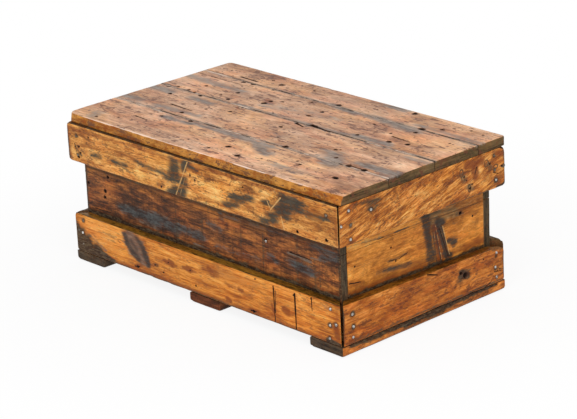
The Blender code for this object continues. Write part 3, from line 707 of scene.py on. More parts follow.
FRONT_LOWER_MARKS = {
    "holes": [
        (-198, 34, 3), (152, 30, 3.2), (-100, 68, 1.6), (-33, 68, 1.6), (-18, 39, 2.4), (160, 100, 1.7),
        (212, 93, 1.8), (268, 95, 1.9), (316, 100, 1.7), (-117, 42, 1.8), (-142, 52, 2.2),
    ],
    "slits": [
        (397.2, 103, 397.2, 24, 2.4), (211, 98, 213, 25, 1.5), (216, 90, 215, 44, 1),
        (271, 98, 272, 26, 1.9), (317, 103, 318, 76, 1.3), (144, 30, 160, 31, 1.4),
        (-206, 33, -192, 35, 1.2),
    ],
    "slate": [
        (-234, 97, -226, 76, 7, 8, 1), (-224, 74, -194, 50, 8, 7, 1), (-196, 98, -178, 80, 8, 0.9),
        (-176, 78, -162, 48, 9, 8, 1.2), (-214, 86, -198, 72, 6, 0.8),
    ],
    "grey": [
        (-360, 70, -300, 44, 4, 3, 0.7), (-216, 92, -200, 80, 24, 1.5),
        (-200, 78, -180, 60, 24, 18, 1.5), (-178, 58, -168, 49, 12, 9, 1.3), (356, 94, 376, 92, 5, 0.6),
    ],
    "bare": [(-236, 70, -204, 43, 2.1, 0.5), (40, 60, 180, 66, 12, 0.25), (-120, 90, 0, 94, 7, 0.25)],
    "red": [
        (-240, 98, -214, 62, 4, 0.6), (-173, 98, -162, 76, 8, 7, 0.6), (-202, 34, -186, 40, 7, 6, 0.9),
        (-160, 48, -134, 54, 6, 0.8), (-97, 72, -84, 70, 5, 4, 1.5), (-43, 71, -30, 69, 5, 4, 1.5),
        (22, 87, 30, 80, 6, 5, 1.5), (112, 67, 122, 65, 5, 4, 1.3), (76, 37, 85, 35, 6, 5, 1.5),
        (240, 59, 250, 57, 6, 5, 1.5), (205, 58, 211, 44, 6, 1), (382, 66, 388, 40, 9, 1),
        (-116, 70, -88, 67, 4, 7, 1), (-92, 66, -72, 68, 5, 3, 0.8), (-54, 70, -34, 67, 4, 6, 1.1),
        (-32, 67, -14, 69, 5, 3, 0.8), (8, 82, 44, 80, 8, 11, 0.8), (30, 87, 38, 76, 4, 6, 1),
        (70, 69, 84, 66, 3, 6, 0.9), (84, 66, 104, 68, 5, 3, 0.7), (236, 56, 250, 53, 5, 8, 0.9),
        (248, 52, 266, 55, 7, 4, 0.7), (142, 30, 164, 31, 7, 6, 1), (128, 60, 150, 58, 7, 0.6),
        (192, 60, 200, 40, 7, 8, 0.4), (-390, 98, -366, 96, 7, 0.5), (384, 98, 386, 40, 7, 8, 0.5),
        (-300, 27, 380, 26, 6, 0.8), (60, 50, 130, 48, 5, 0.3),
    ],
    "grime": [
        (398, 102, 398, 24, 4, 1), (-394, 66, -392, 28, 22, 20, 1.2), (-378, 58, -366, 30, 24, 20, 1.2),
        (-356, 48, -342, 30, 22, 17, 1.2), (-332, 38, -314, 29, 17, 12, 1.2),
        (-302, 31, -276, 27, 6, 4, 1), (-140, 53, -132, 52, 5, 0.6), (358, 27, 394, 25, 6, 1),
        (-300, 22, 380, 22, 4, 0.7),
    ],
    "ochre": [(10, 86, 160, 86, 14, 0.6)],
    "light": [
        (-150, 88, -50, 90, 18, 0.4), (130, 92, 150, 90, 14, 0.3), (225, 88, 285, 84, 18, 0.3),
        (-345, 88, -250, 84, 26, 24, 0.8), (300, 84, 352, 80, 26, 0.9),
    ],
    "dark": [(100, 36, 240, 36, 12, 0.4), (-330, 36, -290, 34, 14, 0.6), (345, 44, 390, 50, 18, 0.5)],
}
RIGHT_UPPER_MARKS = {
    "holes": [
        (220, 265, 2.4), (128, 243, 2.6), (112, 270, 2.2), (186, 278, 2.4), (118, 262, 1.8),
        (134, 250, 1.8),
    ],
    "slits": [(196, 258, 210, 251, 1), (148, 281, 143, 268, 1.3)],
    "slate": [
        (-186, 297, -124, 291, 6, 0.95), (-150, 287, -132, 290, 6, 0.9),
        (-150, 279, -138, 274, 7, 6, 0.9), (-132, 280, -116, 276, 5, 4, 0.6),
    ],
    "grey": [
        (106, 276, 114, 262, 7, 0.7), (180, 280, 190, 268, 7, 6, 0.7), (124, 248, 134, 240, 7, 6, 0.8),
        (196, 292, 206, 288, 4, 0.7), (218, 265, 228, 262, 4, 0.6),
    ],
    "bare": [
        (160, 262, 182, 246, 9, 0.45), (60, 282, 100, 270, 12, 0.35), (-130, 290, -30, 278, 8, 0.3),
        (-90, 246, 20, 258, 7, 0.3),
    ],
    "red": [
        (200, 297, 224, 289, 8, 1), (120, 293, 162, 289, 9, 0.9), (138, 290, 145, 266, 9, 10, 1),
        (-226, 256, -222, 226, 7, 8, 0.5), (-214, 262, -200, 258, 6, 0.6),
        (-60, 292, 20, 296, 8, 6, 0.5), (20, 286, 40, 296, 6, 7, 0.6), (-30, 240, 0, 236, 5, 0.5),
        (-130, 260, -70, 262, 6, 7, 0.5), (194, 244, 216, 236, 7, 0.4), (20, 262, 60, 232, 8, 0.3),
    ],
    "grime": [
        (206, 224, 224, 225, 4, 1), (60, 223, 180, 223, 3, 0.7), (228, 296, 231, 226, 4, 0.6),
        (226, 225, 231, 231, 5, 4, 1),
    ],
    "light": [
        (-120, 262, -95, 268, 16, 20, 0.5), (-80, 270, -25, 272, 24, 1.2),
        (-180, 238, 40, 240, 15, 0.7), (0, 270, 45, 270, 26, 0.8), (76, 266, 110, 262, 18, 0.6),
        (140, 262, 165, 258, 24, 22, 0.4),
    ],
    "dark": [(190, 268, 218, 246, 22, 0.6)],
    "rings": [
        ("grime", 104, 280, 5, 8, 1.7, 0.6), ("grime", 108, 268, 4, 9, 1.7, 0.5),
        ("red", 145, 274, 6, 12, 2.4, 0.9), ("red", 126, 246, 5, 11, 1.8, 0.6),
        ("grime", 176, 281, 6, 7, 1.7, 0.6), ("grime", 186, 268, 3, 10, 1.7, 0.4),
        ("grime", 203, 268, 6, 4, 1.7, 0.5), ("grime", 126, 244, 3, 8, 1.7, 0.6),
        ("red", 203, 242, 6, 7, 1.8, 0.7),
    ],
}
RIGHT_WALL_MARKS = {
    "holes": [(158, 172, 2.4), (-170, 164, 2.2), (-72, 173, 2), (122, 188, 3.2), (-60, 142, 2)],
    "slits": [
        (-78, 147, -52, 144, 0.8), (-50, 144, -27, 150, 0.8), (64, 172, 86, 108, 1.2),
        (-185, 133, -155, 128, 1.2),
    ],
    "slate": [
        (25, 204, 40, 104, 13, 11, 1.4), (60, 188, 74, 182, 11, 1.1), (62, 180, 84, 104, 8, 9, 1.3),
        (46, 180, 58, 130, 11, 0.55), (88, 139, 106, 131, 7, 10, 1.1), (82, 116, 94, 107, 9, 8, 1.2),
        (44, 172, 53, 104, 2.1, 0.8), (52, 170, 66, 104, 2, 0.8), (68, 150, 78, 106, 2.1, 0.7),
        (-110, 134, -46, 128, 5, 6, 0.85), (-58, 128, -18, 125, 5, 4, 0.75),
        (-80, 146, -30, 148, 4, 3, 0.6), (112, 188, 130, 187, 6, 5, 0.7), (100, 172, 130, 170, 4, 0.3),
        (22, 210, 26, 194, 13, 1.1),
    ],
    "grey": [
        (40, 194, 112, 190, 9, 8, 0.9), (20, 214, 104, 200, 11, 10, 1), (90, 203, 190, 202, 6, 0.4),
    ],
    "bare": [
        (47, 176, 50, 150, 1.3, 0.6), (72, 176, 90, 112, 1.4, 0.8), (52, 182, 68, 108, 1.4, 0.6),
        (64, 178, 84, 112, 1.4, 0.5), (-180, 165, -110, 160, 14, 12, 0.35),
        (110, 150, 180, 160, 10, 12, 0.3), (-185, 206, -60, 203, 4, 0.45),
    ],
    "red": [
        (-190, 112, 30, 108, 9, 8, 0.9), (100, 112, 190, 112, 9, 8, 0.8),
        (-190, 136, -150, 126, 7, 0.5), (-60, 124, 25, 122, 10, 0.5), (50, 196, 66, 106, 12, 14, 1),
        (70, 150, 84, 106, 10, 12, 0.9), (110, 140, 150, 132, 5, 0.5), (130, 104, 138, 108, 3, 1),
        (-150, 204, 10, 199, 4, 0.5), (100, 195, 190, 193, 4, 0.5),
    ],
    "grime": [
        # The first stroke is a dark line where the wall meets the ledge, partly dirt and partly painted
        # shade; the third, at 214 mm, is a painted shadow under the upper band
        (-190, 106, 190, 97, 6, 0.95), (30, 212, 100, 203, 6, 5, 0.5), (-190, 214, 195, 214, 3, 0.7),
        (-178, 208, -149, 205, 1.8, 1.6, 0.3), (-149, 205, -96, 200.6, 1.6, 0.45),
        (-96, 200.6, 12, 200.4, 1.6, 0.42), (12, 200.4, 88, 197, 1.6, 0.5),
        (88, 197, 192, 194.4, 1.7, 1.8, 0.5), (-106, 201, -90, 200.5, 2.1, 2, 0.7),
        (-62, 200.8, -30, 201, 2, 1.8, 0.6),
    ],
    "ochre": [(-120, 130, 20, 118, 8, 0.6)],
    "light": [
        (-188, 150, -138, 150, 18, 0.8), (-190, 124, -165, 122, 12, 0.6), (148, 158, 188, 152, 22, 0.6),
        (-185, 206, 10, 205, 12, 0.5),
    ],
    "dark": [
        (48, 188, 64, 108, 15, 1), (-188, 182, -120, 180, 12, 0.4), (-110, 124, -70, 122, 14, 0.6),
        (120, 122, 165, 120, 14, 0.4),
    ],
}
RIGHT_LOWER_MARKS = {
    "holes": [(113, 70, 8.5), (99, 78, 4), (206, 50, 2.4), (213, 52, 1.8), (166, 90, 2)],
    "slits": [
        (-228, 103, -228, 24, 2.4), (6, 104, 33, 95, 1.6), (196, 50, 218, 47, 1.1),
        (170, 22.5, 190, 32, 1.2),
    ],
    "slate": [(196, 107, 228, 106, 7, 9, 1), (90, 62, 100, 58, 7, 6, 0.8), (92, 86, 98, 80, 5, 0.6)],
    "bare": [
        (124, 34, 146, 46, 1.6, 1.8, 0.3), (146, 46, 180, 44, 1.8, 0.3), (-160, 60, -60, 56, 9, 0.25),
        (140, 60, 190, 70, 12, 0.25),
    ],
    "red": [
        (128, 32, 150, 42, 1.6, 0.8), (150, 42, 186, 40, 1.6, 0.8), (132, 28, 160, 26, 2, 0.7),
        (-226, 80, -226, 30, 4, 5, 0.8), (-180, 30, -120, 34, 7, 0.5), (20, 40, 60, 44, 7, 0.4),
        (-100, 74, -40, 66, 6, 0.4), (40, 84, 80, 78, 6, 0.35),
    ],
    "grime": [
        (-229, 102, -229, 24, 5, 1), (104, 74, 116, 67, 14, 12, 1.1), (96, 80, 104, 74, 5, 0.8),
        (-205, 34, -196, 36, 6, 0.5), (198, 58, 208, 56, 6, 0.5), (-220, 27, 220, 26, 3, 0.6),
        (224, 90, 226, 30, 4, 0.6),
    ],
    "light": [(-90, 88, -10, 90, 12, 0.4), (50, 84, 80, 66, 12, 0.4), (-208, 72, -170, 68, 16, 0.5)],
    "dark": [(-80, 38, 40, 38, 12, 0.35), (184, 70, 218, 66, 22, 0.8)],
    "rings": [("red", 152, 37, 26, 12, 2.2, 0.6), ("red", 152, 36, 16, 7, 1.8, 0.6)],
}
RIGHT_SKID_MARKS = {
    "slate": [(-60, 11, 40, 10, 5, 4, 0.7)],
    "bare": [(-120, 5, -70, 5, 4, 0.4)],
    "red": [(-210, 3, 215, 3, 2, 0.4)],
    "torn": [
        (-205, 20, -150, 19, 5, 6, 1.15), (-160, 18, -120, 16, 5, 7, 1.15),
        (-120, 18, -60, 17, 6, 7, 1.15), (-60, 15, 50, 15, 8, 9, 1.15), (50, 17, 120, 18, 7, 5, 1.15),
        (120, 19, 205, 18, 4, 1.15),
    ],
}

# Each paint's layer and channel on the mesh; light and dark change the wood's own tone
LIFTS = {"light": 1.0, "dark": -1.0}
DRAWN_KINDS = ("slate", "grey")
PAINT_CHANNELS = {
    "slate": ("paint", RED),
    "grey": ("paint", GREEN),
    "bare": ("paint", BLUE),
    "red": ("tint", RED),
    "grime": ("tint", GREEN),
    "torn": ("tint", GREEN),
    "ochre": ("tint", BLUE),
}
RING_SIDES = 10


def ring(u, v, across, up):
    """Points round an oval, for the outline of a knot."""
    turns = [2 * math.pi * step / RING_SIDES for step in range(RING_SIDES + 1)]
    return [(u + across * math.cos(turn), v + up * math.sin(turn)) for turn in turns]


# Board shapes

EDGE_LINES = (0.0, 0.0008, 0.002, 0.004, 0.007, 0.011)
FINE_REACH = (0.006, 0.003)
FACING = 0.9
NO_LENGTH = 1e-12


def axis_lines(half, step):
    """Places along one axis, closer together near the two ends."""
    edge = [x for x in EDGE_LINES if x < half - step / 2]
    inner = half - edge[-1]
    count = max(1, round(2 * inner / step))
    low = [x - half for x in edge[:-1]]
    return np.array(low + list(np.linspace(-inner, inner, count + 1)) + [-x for x in reversed(low)])


def shell_mesh(lines):
    """Corners and quads of a closed box whose six faces are grids."""
    counts = [len(places) for places in lines]
    index = np.indices(counts)
    shell = np.zeros(counts, bool)
    for axis in range(3):
        shell |= (index[axis] == 0) | (index[axis] == counts[axis] - 1)
    number = np.full(counts, -1)
    number[shell] = np.arange(shell.sum())
    corners = np.stack([lines[axis][index[axis][shell]] for axis in range(3)], axis=1)
    quads = []
    for axis in range(3):
        for end in (0, -1):
            sheet = np.take(number, end, axis=axis)
            around = [sheet[:-1, :-1], sheet[1:, :-1], sheet[1:, 1:], sheet[:-1, 1:]]
            quad = np.stack(around, axis=-1).reshape(-1, 4)
            quads.append(quad[:, ::-1] if (end == 0) != (axis == 1) else quad)
    return corners, np.concatenate(quads)


def refine(shape, marks):
    """Split the outer face's quads where the marks are."""
    for reach in FINE_REACH:
        shape.normal_update()
        faces = [face for face in shape.faces if face.normal.z > FACING]
        middles = np.array([face.calc_center_median()[:2] for face in faces])
        near = np.zeros(len(faces), bool)
        for mark in marks:
            widest = max(mark[4], mark[5])
            near |= capsule(middles, (*mark[:4], widest + reach, widest + reach)) < 1
        edges = dict.fromkeys(edge for face, chosen in zip(faces, near) if chosen for edge in face.edges)
        bmesh.ops.subdivide_edges(shape, edges=list(edges), cuts=1, use_grid_fill=True)


def round_corners(flat, half, corner):
    """Points of a rectangle with its four corners brought onto quarter discs, each of its own radius."""
    sign = np.where(flat < 0, -1.0, 1.0)
    radius = np.array([[corner[(a, b)] for b in (-1, 1)] for a in (-1, 1)])
    radius = radius[(sign[:, 0] > 0).astype(int), (sign[:, 1] > 0).astype(int)][:, None]
    inset = np.abs(flat) - (half - radius)
    in_corner = (inset > 0).all(axis=1)
    length = np.maximum(np.hypot(*inset.T), NO_LENGTH)
    inset = np.where(in_corner[:, None], inset * (inset.max(axis=1) / length)[:, None], inset)
    return sign * (half - radius + inset), inset, in_corner, radius


def worn_shape(points, half, corner, arris):
    """Round a box's points by the radii of its four upright corners and of each point's edge."""
    sign = np.where(points < 0, -1.0, 1.0)
    flat, inset, in_corner, radius = round_corners(points[:, :2], half[:2], corner)
    length = np.maximum(np.hypot(*inset.T), NO_LENGTH)
    side = np.where(inset[:, :1] > inset[:, 1:], [1.0, 0.0], [0.0, 1.0])
    outward = np.where(in_corner[:, None], inset / length[:, None], side) * sign[:, :2]
    depth = np.where(in_corner, radius[:, 0] - length, radius[:, 0] - inset.max(axis=1))
    below = half[2] - np.abs(points[:, 2])
    u, v = arris - depth, arris - below
    rounds = (u > 0) & (v > 0)
    share = np.maximum(u, v) / np.maximum(np.hypot(u, v), NO_LENGTH)
    flat = flat - outward * np.where(rounds, u * (1 - share), 0.0)[:, None]
    up = points[:, 2] - sign[:, 2] * np.where(rounds, v * (1 - share), 0.0)
    return np.column_stack([flat, up]), outward, depth, below


# Pieces

def put_in_scene(name, data):
    item = bpy.data.objects.new(name, data)
    bpy.context.scene.collection.objects.link(item)
    return item


def add_piece(name, mesh, body, nodes):
    piece = put_in_scene(name, mesh)
    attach(piece, body)
    if nodes:
        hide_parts(*nodes)


# Wear: cells of noise to the metre, and depths in metres
SLOW_CELLS = 22
QUICK_CELLS = 75
CHIP_CELLS = 38
FINE_WOBBLE_CELLS = 90
WIDE_WOBBLE_CELLS = 35
CHIP_DEPTH = 0.0026
FACE_WEAR = 0.0004
FACE_ROUGHNESS = 0.0002
INNER_WEAR = 0.0003
SIDE_WEAR = 0.0005
DEEPEST_ARRIS = 0.96
HOLE_DEPTH = 0.0055
SLIT_DEPTH = 0.0035
TORN_DEPTH = 0.0018
FINE_STROKE = 0.0022
THIN_STROKE = 0.003
FINE_MARGIN = 0.01
PAINT_OVERLAP = 0.006
# How far the pale edge reaches in on the face and on the sides: partly worn wood, partly a painted
# highlight
FACE_SHINE_REACH = 0.0016
SIDE_SHINE_REACH = 0.0014

# How far the slow and the quick noise count: in rounding after a plain share, in tears, and in the pale
# edge, which is partly worn wood and partly a painted highlight
ARRIS_BLEND = (0.55, 0.6, 0.35)
TORN_BLEND = (0.6, 0.8)
SHINE_BLEND = (1.3, 0.5)

# A hole narrows from its start to its end, and so does a slit
HOLE_TAPER = (0.95, 0.7)
SLIT_TAPER = 0.6

# A hole's greatest depth, as a share of its radius and of the board's half thickness
DEEPEST_BY_RADIUS = 1.3
DEEPEST_BY_BOARD = 0.6

# Where marks begin to show and where they are whole, in shares of their radius; chips and tears by strength
LIFT_FADE = (1.5, 0.0)
THIN_FADE = (1.4, 0.5)
WIDE_FADE = (1.6, 0.1)
HOLE_FADE = (1.0, 0.5)
RIM_FADE = (1.6, 0.45)
CHIP_FADE = (0.66, 0.92)
TORN_FADE = (0.3, 0.6)

# Outlines wander: by how much of a radius, and how far thin strokes, holes and their rims follow
FINE_WOBBLE = 0.35
WIDE_WOBBLE = 0.5
THIN_WOBBLE = 0.4
HOLE_WOBBLE = 0.4
RIM_WOBBLE = 0.5

# Marks drawn at random: places as shares of the face, sizes in millimetres
HOLE_SPREAD = (0.94, 0.8)
HOLE_RADII = (1.8, 4.0)
HOLE_STRETCH = (0, 8)
HOLE_SLANT = 0.4
STROKE_SPREAD = (0.95, 0.9)
STROKE_LENGTHS = (15, 90)
STROKE_WIDTHS = (4, 11)
STROKE_KINDS = ["slate", "grey", "red", "bare"]
STROKE_SLANT = 0.12
STROKE_STRENGTHS = (0.4, 0.9)

# A plain board: the sides of its two long edges, its rounding and the size of its quads
EDGE_SIGNS = {"low": -1, "high": 1}
PLAIN_ARRIS = {"end": 0.002, "low": 0.002, "high": 0.002, "inner": 0.0012}
PLAIN_CORNER = 0.0012
PLAIN_STEP = (0.006, 0.005, 0.006)

# A worn corner leans back: how far in from the edge it is felt, how it bends and droops,
# and how many times as far its edge has lost its shine
LEAN_DEPTH = 0.05
LEAN_BEND = 1.5
LEAN_DROOP = 0.25
LEAN_DULLS = 4

# A board's seed comes from its node's name: the weight of the first letter, and how many seeds there are
SEED_FIRST = 3
SEED_COUNT = 997

# How far a hole is drawn out and how it slants come from its place: weights of u and v, and a count
STRETCH_BY_PLACE = (7, 13, 10)
SLANT_BY_PLACE = (3, 5, 7)
SLANT_MIDDLE = 3
SLANT_STEPS = 9


def place_number(u, v, by_u, by_v, count):
    """A number below count that depends on nothing but a place."""
    return (u * by_u + v * by_v) % count


class Board:
    """A board in its own axes (along the grain, across it, outwards), set in the place of one CAD node."""

    def __init__(self, node, grain, out, sign, finish):
        low, high = (np.array(corner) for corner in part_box(node))
        self.node, self.grain, self.out, self.sign, self.finish = node, grain, out, sign, finish
        self.across = X + Y + Z - grain - out
        self.order = [grain, self.across, out]
        self.centre = (low + high) / 2
        self.half = ((high - low) / 2)[self.order]
        self.thin = self.across if self.half[1] < self.half[2] else out
        self.corner = {(a, b): PLAIN_CORNER for a in (-1, 1) for b in (-1, 1)}
        self.arris = dict(PLAIN_ARRIS)
        self.wear = 1.0
        self.step = PLAIN_STEP
        self.mitre = False
        self.fall = 0.0
        self.holes, self.strokes, self.leans = [], [], []
        self.dark_edges = {}
        self.section = None
        # How strong the pale edge is on the long edges and at the ends: partly worn wood, partly a painted
        # highlight
        self.shine = 1.0
        self.end_shine = 1.0
        self.tilt = 0.0
        self.drawn = 1.0
        self.seed = sum(ord(letter) * place for place, letter in enumerate(node, SEED_FIRST)) % SEED_COUNT

    def on_board(self, u, v):
        """A point on the face, in millimetres on the world's two other axes, in board coordinates."""
        world = dict(zip(sorted((self.grain, self.across)), (u * MM, v * MM)))
        return [world[axis] - self.centre[axis] for axis in (self.grain, self.across)]

    def stroke(self, kind, u0, v0, u1, v1, *rest):
        *radii, strength = rest
        line = (*self.on_board(u0, v0), *self.on_board(u1, v1))
        self.strokes.append((kind, *line, radii[0] * MM, radii[-1] * MM, strength))

    def mark(self, marks):
        """Take up a face's marks; a hole is drawn out along the grain by an amount that its place gives."""
        for u, v, radius in marks.get("holes", ()):
            a, b = self.on_board(u, v)
            drawn = radius * MM * place_number(u, v, *STRETCH_BY_PLACE) / STRETCH_BY_PLACE[-1]
            slant = drawn * (place_number(u, v, *SLANT_BY_PLACE) - SLANT_MIDDLE) / SLANT_STEPS
            radii = [radius * MM * share for share in HOLE_TAPER]
            self.holes.append((a, b, a + drawn, b + slant, *radii))
        for u0, v0, u1, v1, radius in marks.get("slits", ()):
            line = (*self.on_board(u0, v0), *self.on_board(u1, v1))
            self.holes.append((*line, radius * MM, radius * MM * SLIT_TAPER))
        for kind in (*PAINT_CHANNELS, *LIFTS):
            for values in marks.get(kind, ()):
                self.stroke(kind, *values)
        for kind, u, v, across, up, radius, strength in marks.get("rings", ()):
            points = ring(u, v, across, up)
            for start, end in zip(points, points[1:]):
                self.stroke(kind, *start, *end, radius, strength)

    def scatter(self, holes, strokes):
        """Nail holes and stains at random, for a board the photograph doesn't show."""
        draw = np.random.default_rng(self.seed)

        def somewhere(spread):
            return [draw.uniform(-share, share) * half for share, half in zip(spread, self.half)]

        for _ in range(holes):
            a, b = somewhere(HOLE_SPREAD)
            radius = draw.uniform(*HOLE_RADII) * MM
            stretch = draw.uniform(*HOLE_STRETCH) * MM
            slant = draw.uniform(-1, 1) * stretch * HOLE_SLANT
            self.holes.append((a, b, a + stretch, b + slant, radius, radius))
        for _ in range(strokes):
            a, b = somewhere(STROKE_SPREAD)
            length = draw.uniform(*STROKE_LENGTHS) * MM
            width = draw.uniform(*STROKE_WIDTHS) * MM
            kind = draw.choice(STROKE_KINDS)
            line = (a, b, a + length, b + draw.uniform(-STROKE_SLANT, STROKE_SLANT) * length)
            self.strokes.append((kind, *line, width, width, draw.uniform(*STROKE_STRENGTHS)))

    def make(self, name, body):
        lines = [axis_lines(half, step) for half, step in zip(self.half, self.step)]
        corners, quads = shell_mesh(lines)
        mesh = bpy.data.meshes.new(name)
        mesh.from_pydata(corners.tolist(), [], quads.tolist())
        shape = bmesh.new()
        shape.from_mesh(mesh)
        fine = self.holes + [stroke[1:7] for stroke in self.strokes if stroke[5] < FINE_STROKE]
        limit = self.half[:2] + FINE_MARGIN
        refine(shape, [mark for mark in fine if (np.abs(mark[:2]) < limit).all()])
        shape.to_mesh(mesh)
        shape.free()
        box = np.zeros(len(mesh.vertices) * 3)
        mesh.vertices.foreach_get("co", box)
        places, layers = self.wear_down(box.reshape(-1, 3))
        mesh.vertices.foreach_set("co", places.ravel())
        handed = np.linalg.det(np.eye(3)[:, self.order]) * self.sign
        if handed < 0:
            mesh.flip_normals()
        for layer, values in layers.items():
            colours = mesh.color_attributes.new(layer, "FLOAT_COLOR", "POINT")
            colours.data.foreach_set("color", values.ravel())
        mesh.shade_smooth()
        mesh.update()
        material = wood_material(name, self.finish, self.grain, self.thin, self.seed, self.tilt)
        mesh.materials.append(material)
        add_piece(name, mesh, body, (self.node,))

    def to_world(self, points):
        """Board coordinates to the world's, with the mitred ends and the fall of the top edge put in."""
        along, across, out = points.T
        if self.mitre:
            along = along * (1 - (self.half[2] - out) / self.half[0])
        if self.fall:
            lift = (across / self.half[1] + 1) / 2
            across = across - self.fall * lift * (along / self.half[0] + 1) / 2
        world = np.tile(self.centre, (len(points), 1))
        world[:, self.grain] += along
        world[:, self.across] += across
        world[:, self.out] += out * self.sign
        return world

    def edge_radius(self, box, at_end, slow, quick, chips):
        """How far each point's edge is rounded."""
        arris = self.arris
        edge = np.where(at_end, arris["end"], np.where(box[:, 1] > 0, arris["high"], arris["low"]))
        edge = np.where(box[:, 2] < 0, arris["inner"], edge)
        plain, by_slow, by_quick = ARRIS_BLEND
        radius = edge * (plain + by_slow * slow + by_quick * quick)
        radius = radius + CHIP_DEPTH * chips * self.wear * ((box[:, 2] > 0) & ~at_end)
        return np.minimum(radius, DEEPEST_ARRIS * self.half[2])

    def lean_back(self, box, places):
        """Bend worn corners back from the front edge."""
        half = self.half
        for end, reach, amount in self.leans:
            near = np.exp(-(((half[0] - end * box[:, 0]) / reach) ** 2))
            near = near * smoothstep(LEAN_DEPTH, 0.0, half[1] + box[:, 1])
            rise = (box[:, 2] / half[2] + 1) / 2
            places[:, 1] += amount * near * rise**LEAN_BEND
            places[:, 2] -= LEAN_DROOP * amount * near * rise

    def paint_strokes(self, layers, flat, outer, reach_in, wobble):
        """Lay the strokes in their channels, and say where the wood is torn."""
        torn = np.zeros(len(flat))
        for kind, *stroke, strength in self.strokes:
            if kind in LIFTS:
                lift = strength * LIFTS[kind] * smoothstep(*LIFT_FADE, capsule(flat, stroke) + wobble)
                layers["tint"][:, ALPHA] += MIDDLE * lift * outer
                continue
            thin = stroke[4] < THIN_STROKE
            drawn = self.drawn if kind in DRAWN_KINDS and not thin else 1.0
            narrow = math.sqrt(drawn)
            spread = np.array([drawn, 1.0, drawn, 1.0, narrow, narrow])
            share = capsule(flat * spread[:2], stroke * spread) + wobble * (THIN_WOBBLE if thin else 1.0)
            fade = THIN_FADE if thin else WIDE_FADE
            mask = strength * smoothstep(*fade, share) * reach_in
            layer, channel = PAINT_CHANNELS[kind]
            layers[layer][:, channel] = np.maximum(layers[layer][:, channel], np.minimum(mask, 1.0))
            if kind == "torn":
                torn = np.maximum(torn, smoothstep(*TORN_FADE, mask) * outer)
        return torn

    def sink_holes(self, layers, places, flat, outer, reach_in, wobble):
        """Press the holes and slits into the outer face, and mark where they are."""
        for hole in self.holes:
            share = capsule(flat, hole)
            deepest = SLIT_DEPTH if math.dist(hole[:2], hole[2:4]) > 2 * hole[4] else HOLE_DEPTH
            deepest = min(deepest, DEEPEST_BY_RADIUS * hole[4], DEEPEST_BY_BOARD * self.half[2])
            sunk = deepest * smoothstep(*HOLE_FADE, share + HOLE_WOBBLE * wobble)
            places[:, 2] -= np.where(outer, sunk, 0.0)
            mask = smoothstep(*RIM_FADE, share + RIM_WOBBLE * wobble) * reach_in
            layers["paint"][:, ALPHA] = np.maximum(layers["paint"][:, ALPHA], mask)

    def wear_down(self, box):
        """World places and paint of the board's points, from their places on a plain box."""
        half = self.half
        world = self.to_world(box)
        slow = value_noise(world * SLOW_CELLS, self.seed)
        quick = value_noise(world * QUICK_CELLS, self.seed + 1)
        chips = smoothstep(*CHIP_FADE, value_noise(world * CHIP_CELLS, self.seed + 2))
        outer = box[:, 2] > half[2] - TINY
        inner = box[:, 2] < TINY - half[2]
        at_end = half[0] - np.abs(box[:, 0]) < half[1] - np.abs(box[:, 1])
        arris = self.edge_radius(box, at_end, slow, quick, chips)
        places, outward, depth, below = worn_shape(box, half, self.corner, arris)
        if self.section:
            places[:, 1:] = round_corners(places[:, 1:], half[1:], self.section)[0]
        places[:, 2] -= np.where(outer, FACE_WEAR * slow + FACE_ROUGHNESS * quick, 0.0) * self.wear
        places[:, 2] += np.where(inner, INNER_WEAR * slow, 0.0)
        between = ~outer & ~inner
        places[:, :2] -= outward * np.where(between, SIDE_WEAR * slow * self.wear, 0.0)[:, None]
        self.lean_back(box, places)

        layers = {name: np.zeros((len(box), 4)) for name in ("zone", "paint", "tint")}
        layers["tint"][:, ALPHA] = MIDDLE
        reach_in = np.clip(1 - below / PAINT_OVERLAP, 0, 1) * (box[:, 2] > 0)
        wobble = FINE_WOBBLE * (value_noise(world * FINE_WOBBLE_CELLS, self.seed + 3) - MIDDLE)
        wobble = wobble + WIDE_WOBBLE * (value_noise(world * WIDE_WOBBLE_CELLS, self.seed + 4) - MIDDLE)
        torn = self.paint_strokes(layers, box[:, :2], outer, reach_in, wobble)
        plain, by_quick = TORN_BLEND
        places[:, 2] -= TORN_DEPTH * torn * (plain + by_quick * quick)
        self.sink_holes(layers, places, box[:, :2], outer, reach_in, wobble)

        ends = np.abs(box[:, 0]) > half[0] - TINY
        sides = (np.abs(box[:, 1]) > half[1] - TINY) & ~ends
        for edge, sign in EDGE_SIGNS.items():
            dark = self.dark_edges.get(edge, 0.0) * (sides & ~outer & (box[:, 1] * sign > 0))
            layers["tint"][:, GREEN] = np.maximum(layers["tint"][:, GREEN], dark)
        layers["zone"][:, RED] = ends & ~outer
        layers["zone"][:, GREEN] = sides & between
        layers["zone"][:, BLUE] = inner
        # The pale edge along the top arrises, partly worn wood and partly a painted highlight, dulled at
        # leaning corners
        pale = np.where(outer, np.exp(-depth / FACE_SHINE_REACH), np.exp(-below / SIDE_SHINE_REACH))
        by_slow, by_quick = SHINE_BLEND
        pale = pale * (by_quick * quick + by_slow * slow)
        for end, reach, _ in self.leans:
            pale = pale * (1 - np.exp(-(((half[0] - end * box[:, 0]) / (LEAN_DULLS * reach)) ** 2)))
        layers["zone"][:, ALPHA] = np.where(at_end, self.end_shine, self.shine) * pale * (box[:, 2] > 0)
        return self.to_world(places), layers


# Lid, bands, walls, floor and skids

FINE = (0.0045, 0.0035, 0.005)
LID_SEAMS = {
    "back": ("low",),
    "rear_middle": ("low", "high"),
    "front_middle": ("low", "high"),
    "front": ("high",),
}
LID_CORNERS = {"front": {(-1, -1): 0.013, (1, -1): 0.004}, "back": {(-1, 1): 0.013, (1, 1): 0.006}}
LID_LEANS = [(1, 0.026, 0.0085), (-1, 0.014, 0.0035)]
LID_OVERLAP = 0.002

# The seams between the lid's boards: radius at each end and strength
SEAM_LINE = (0.0021, 0.0021, 0.85)
SEAM_STAIN = (0.010, 0.010, 0.6)


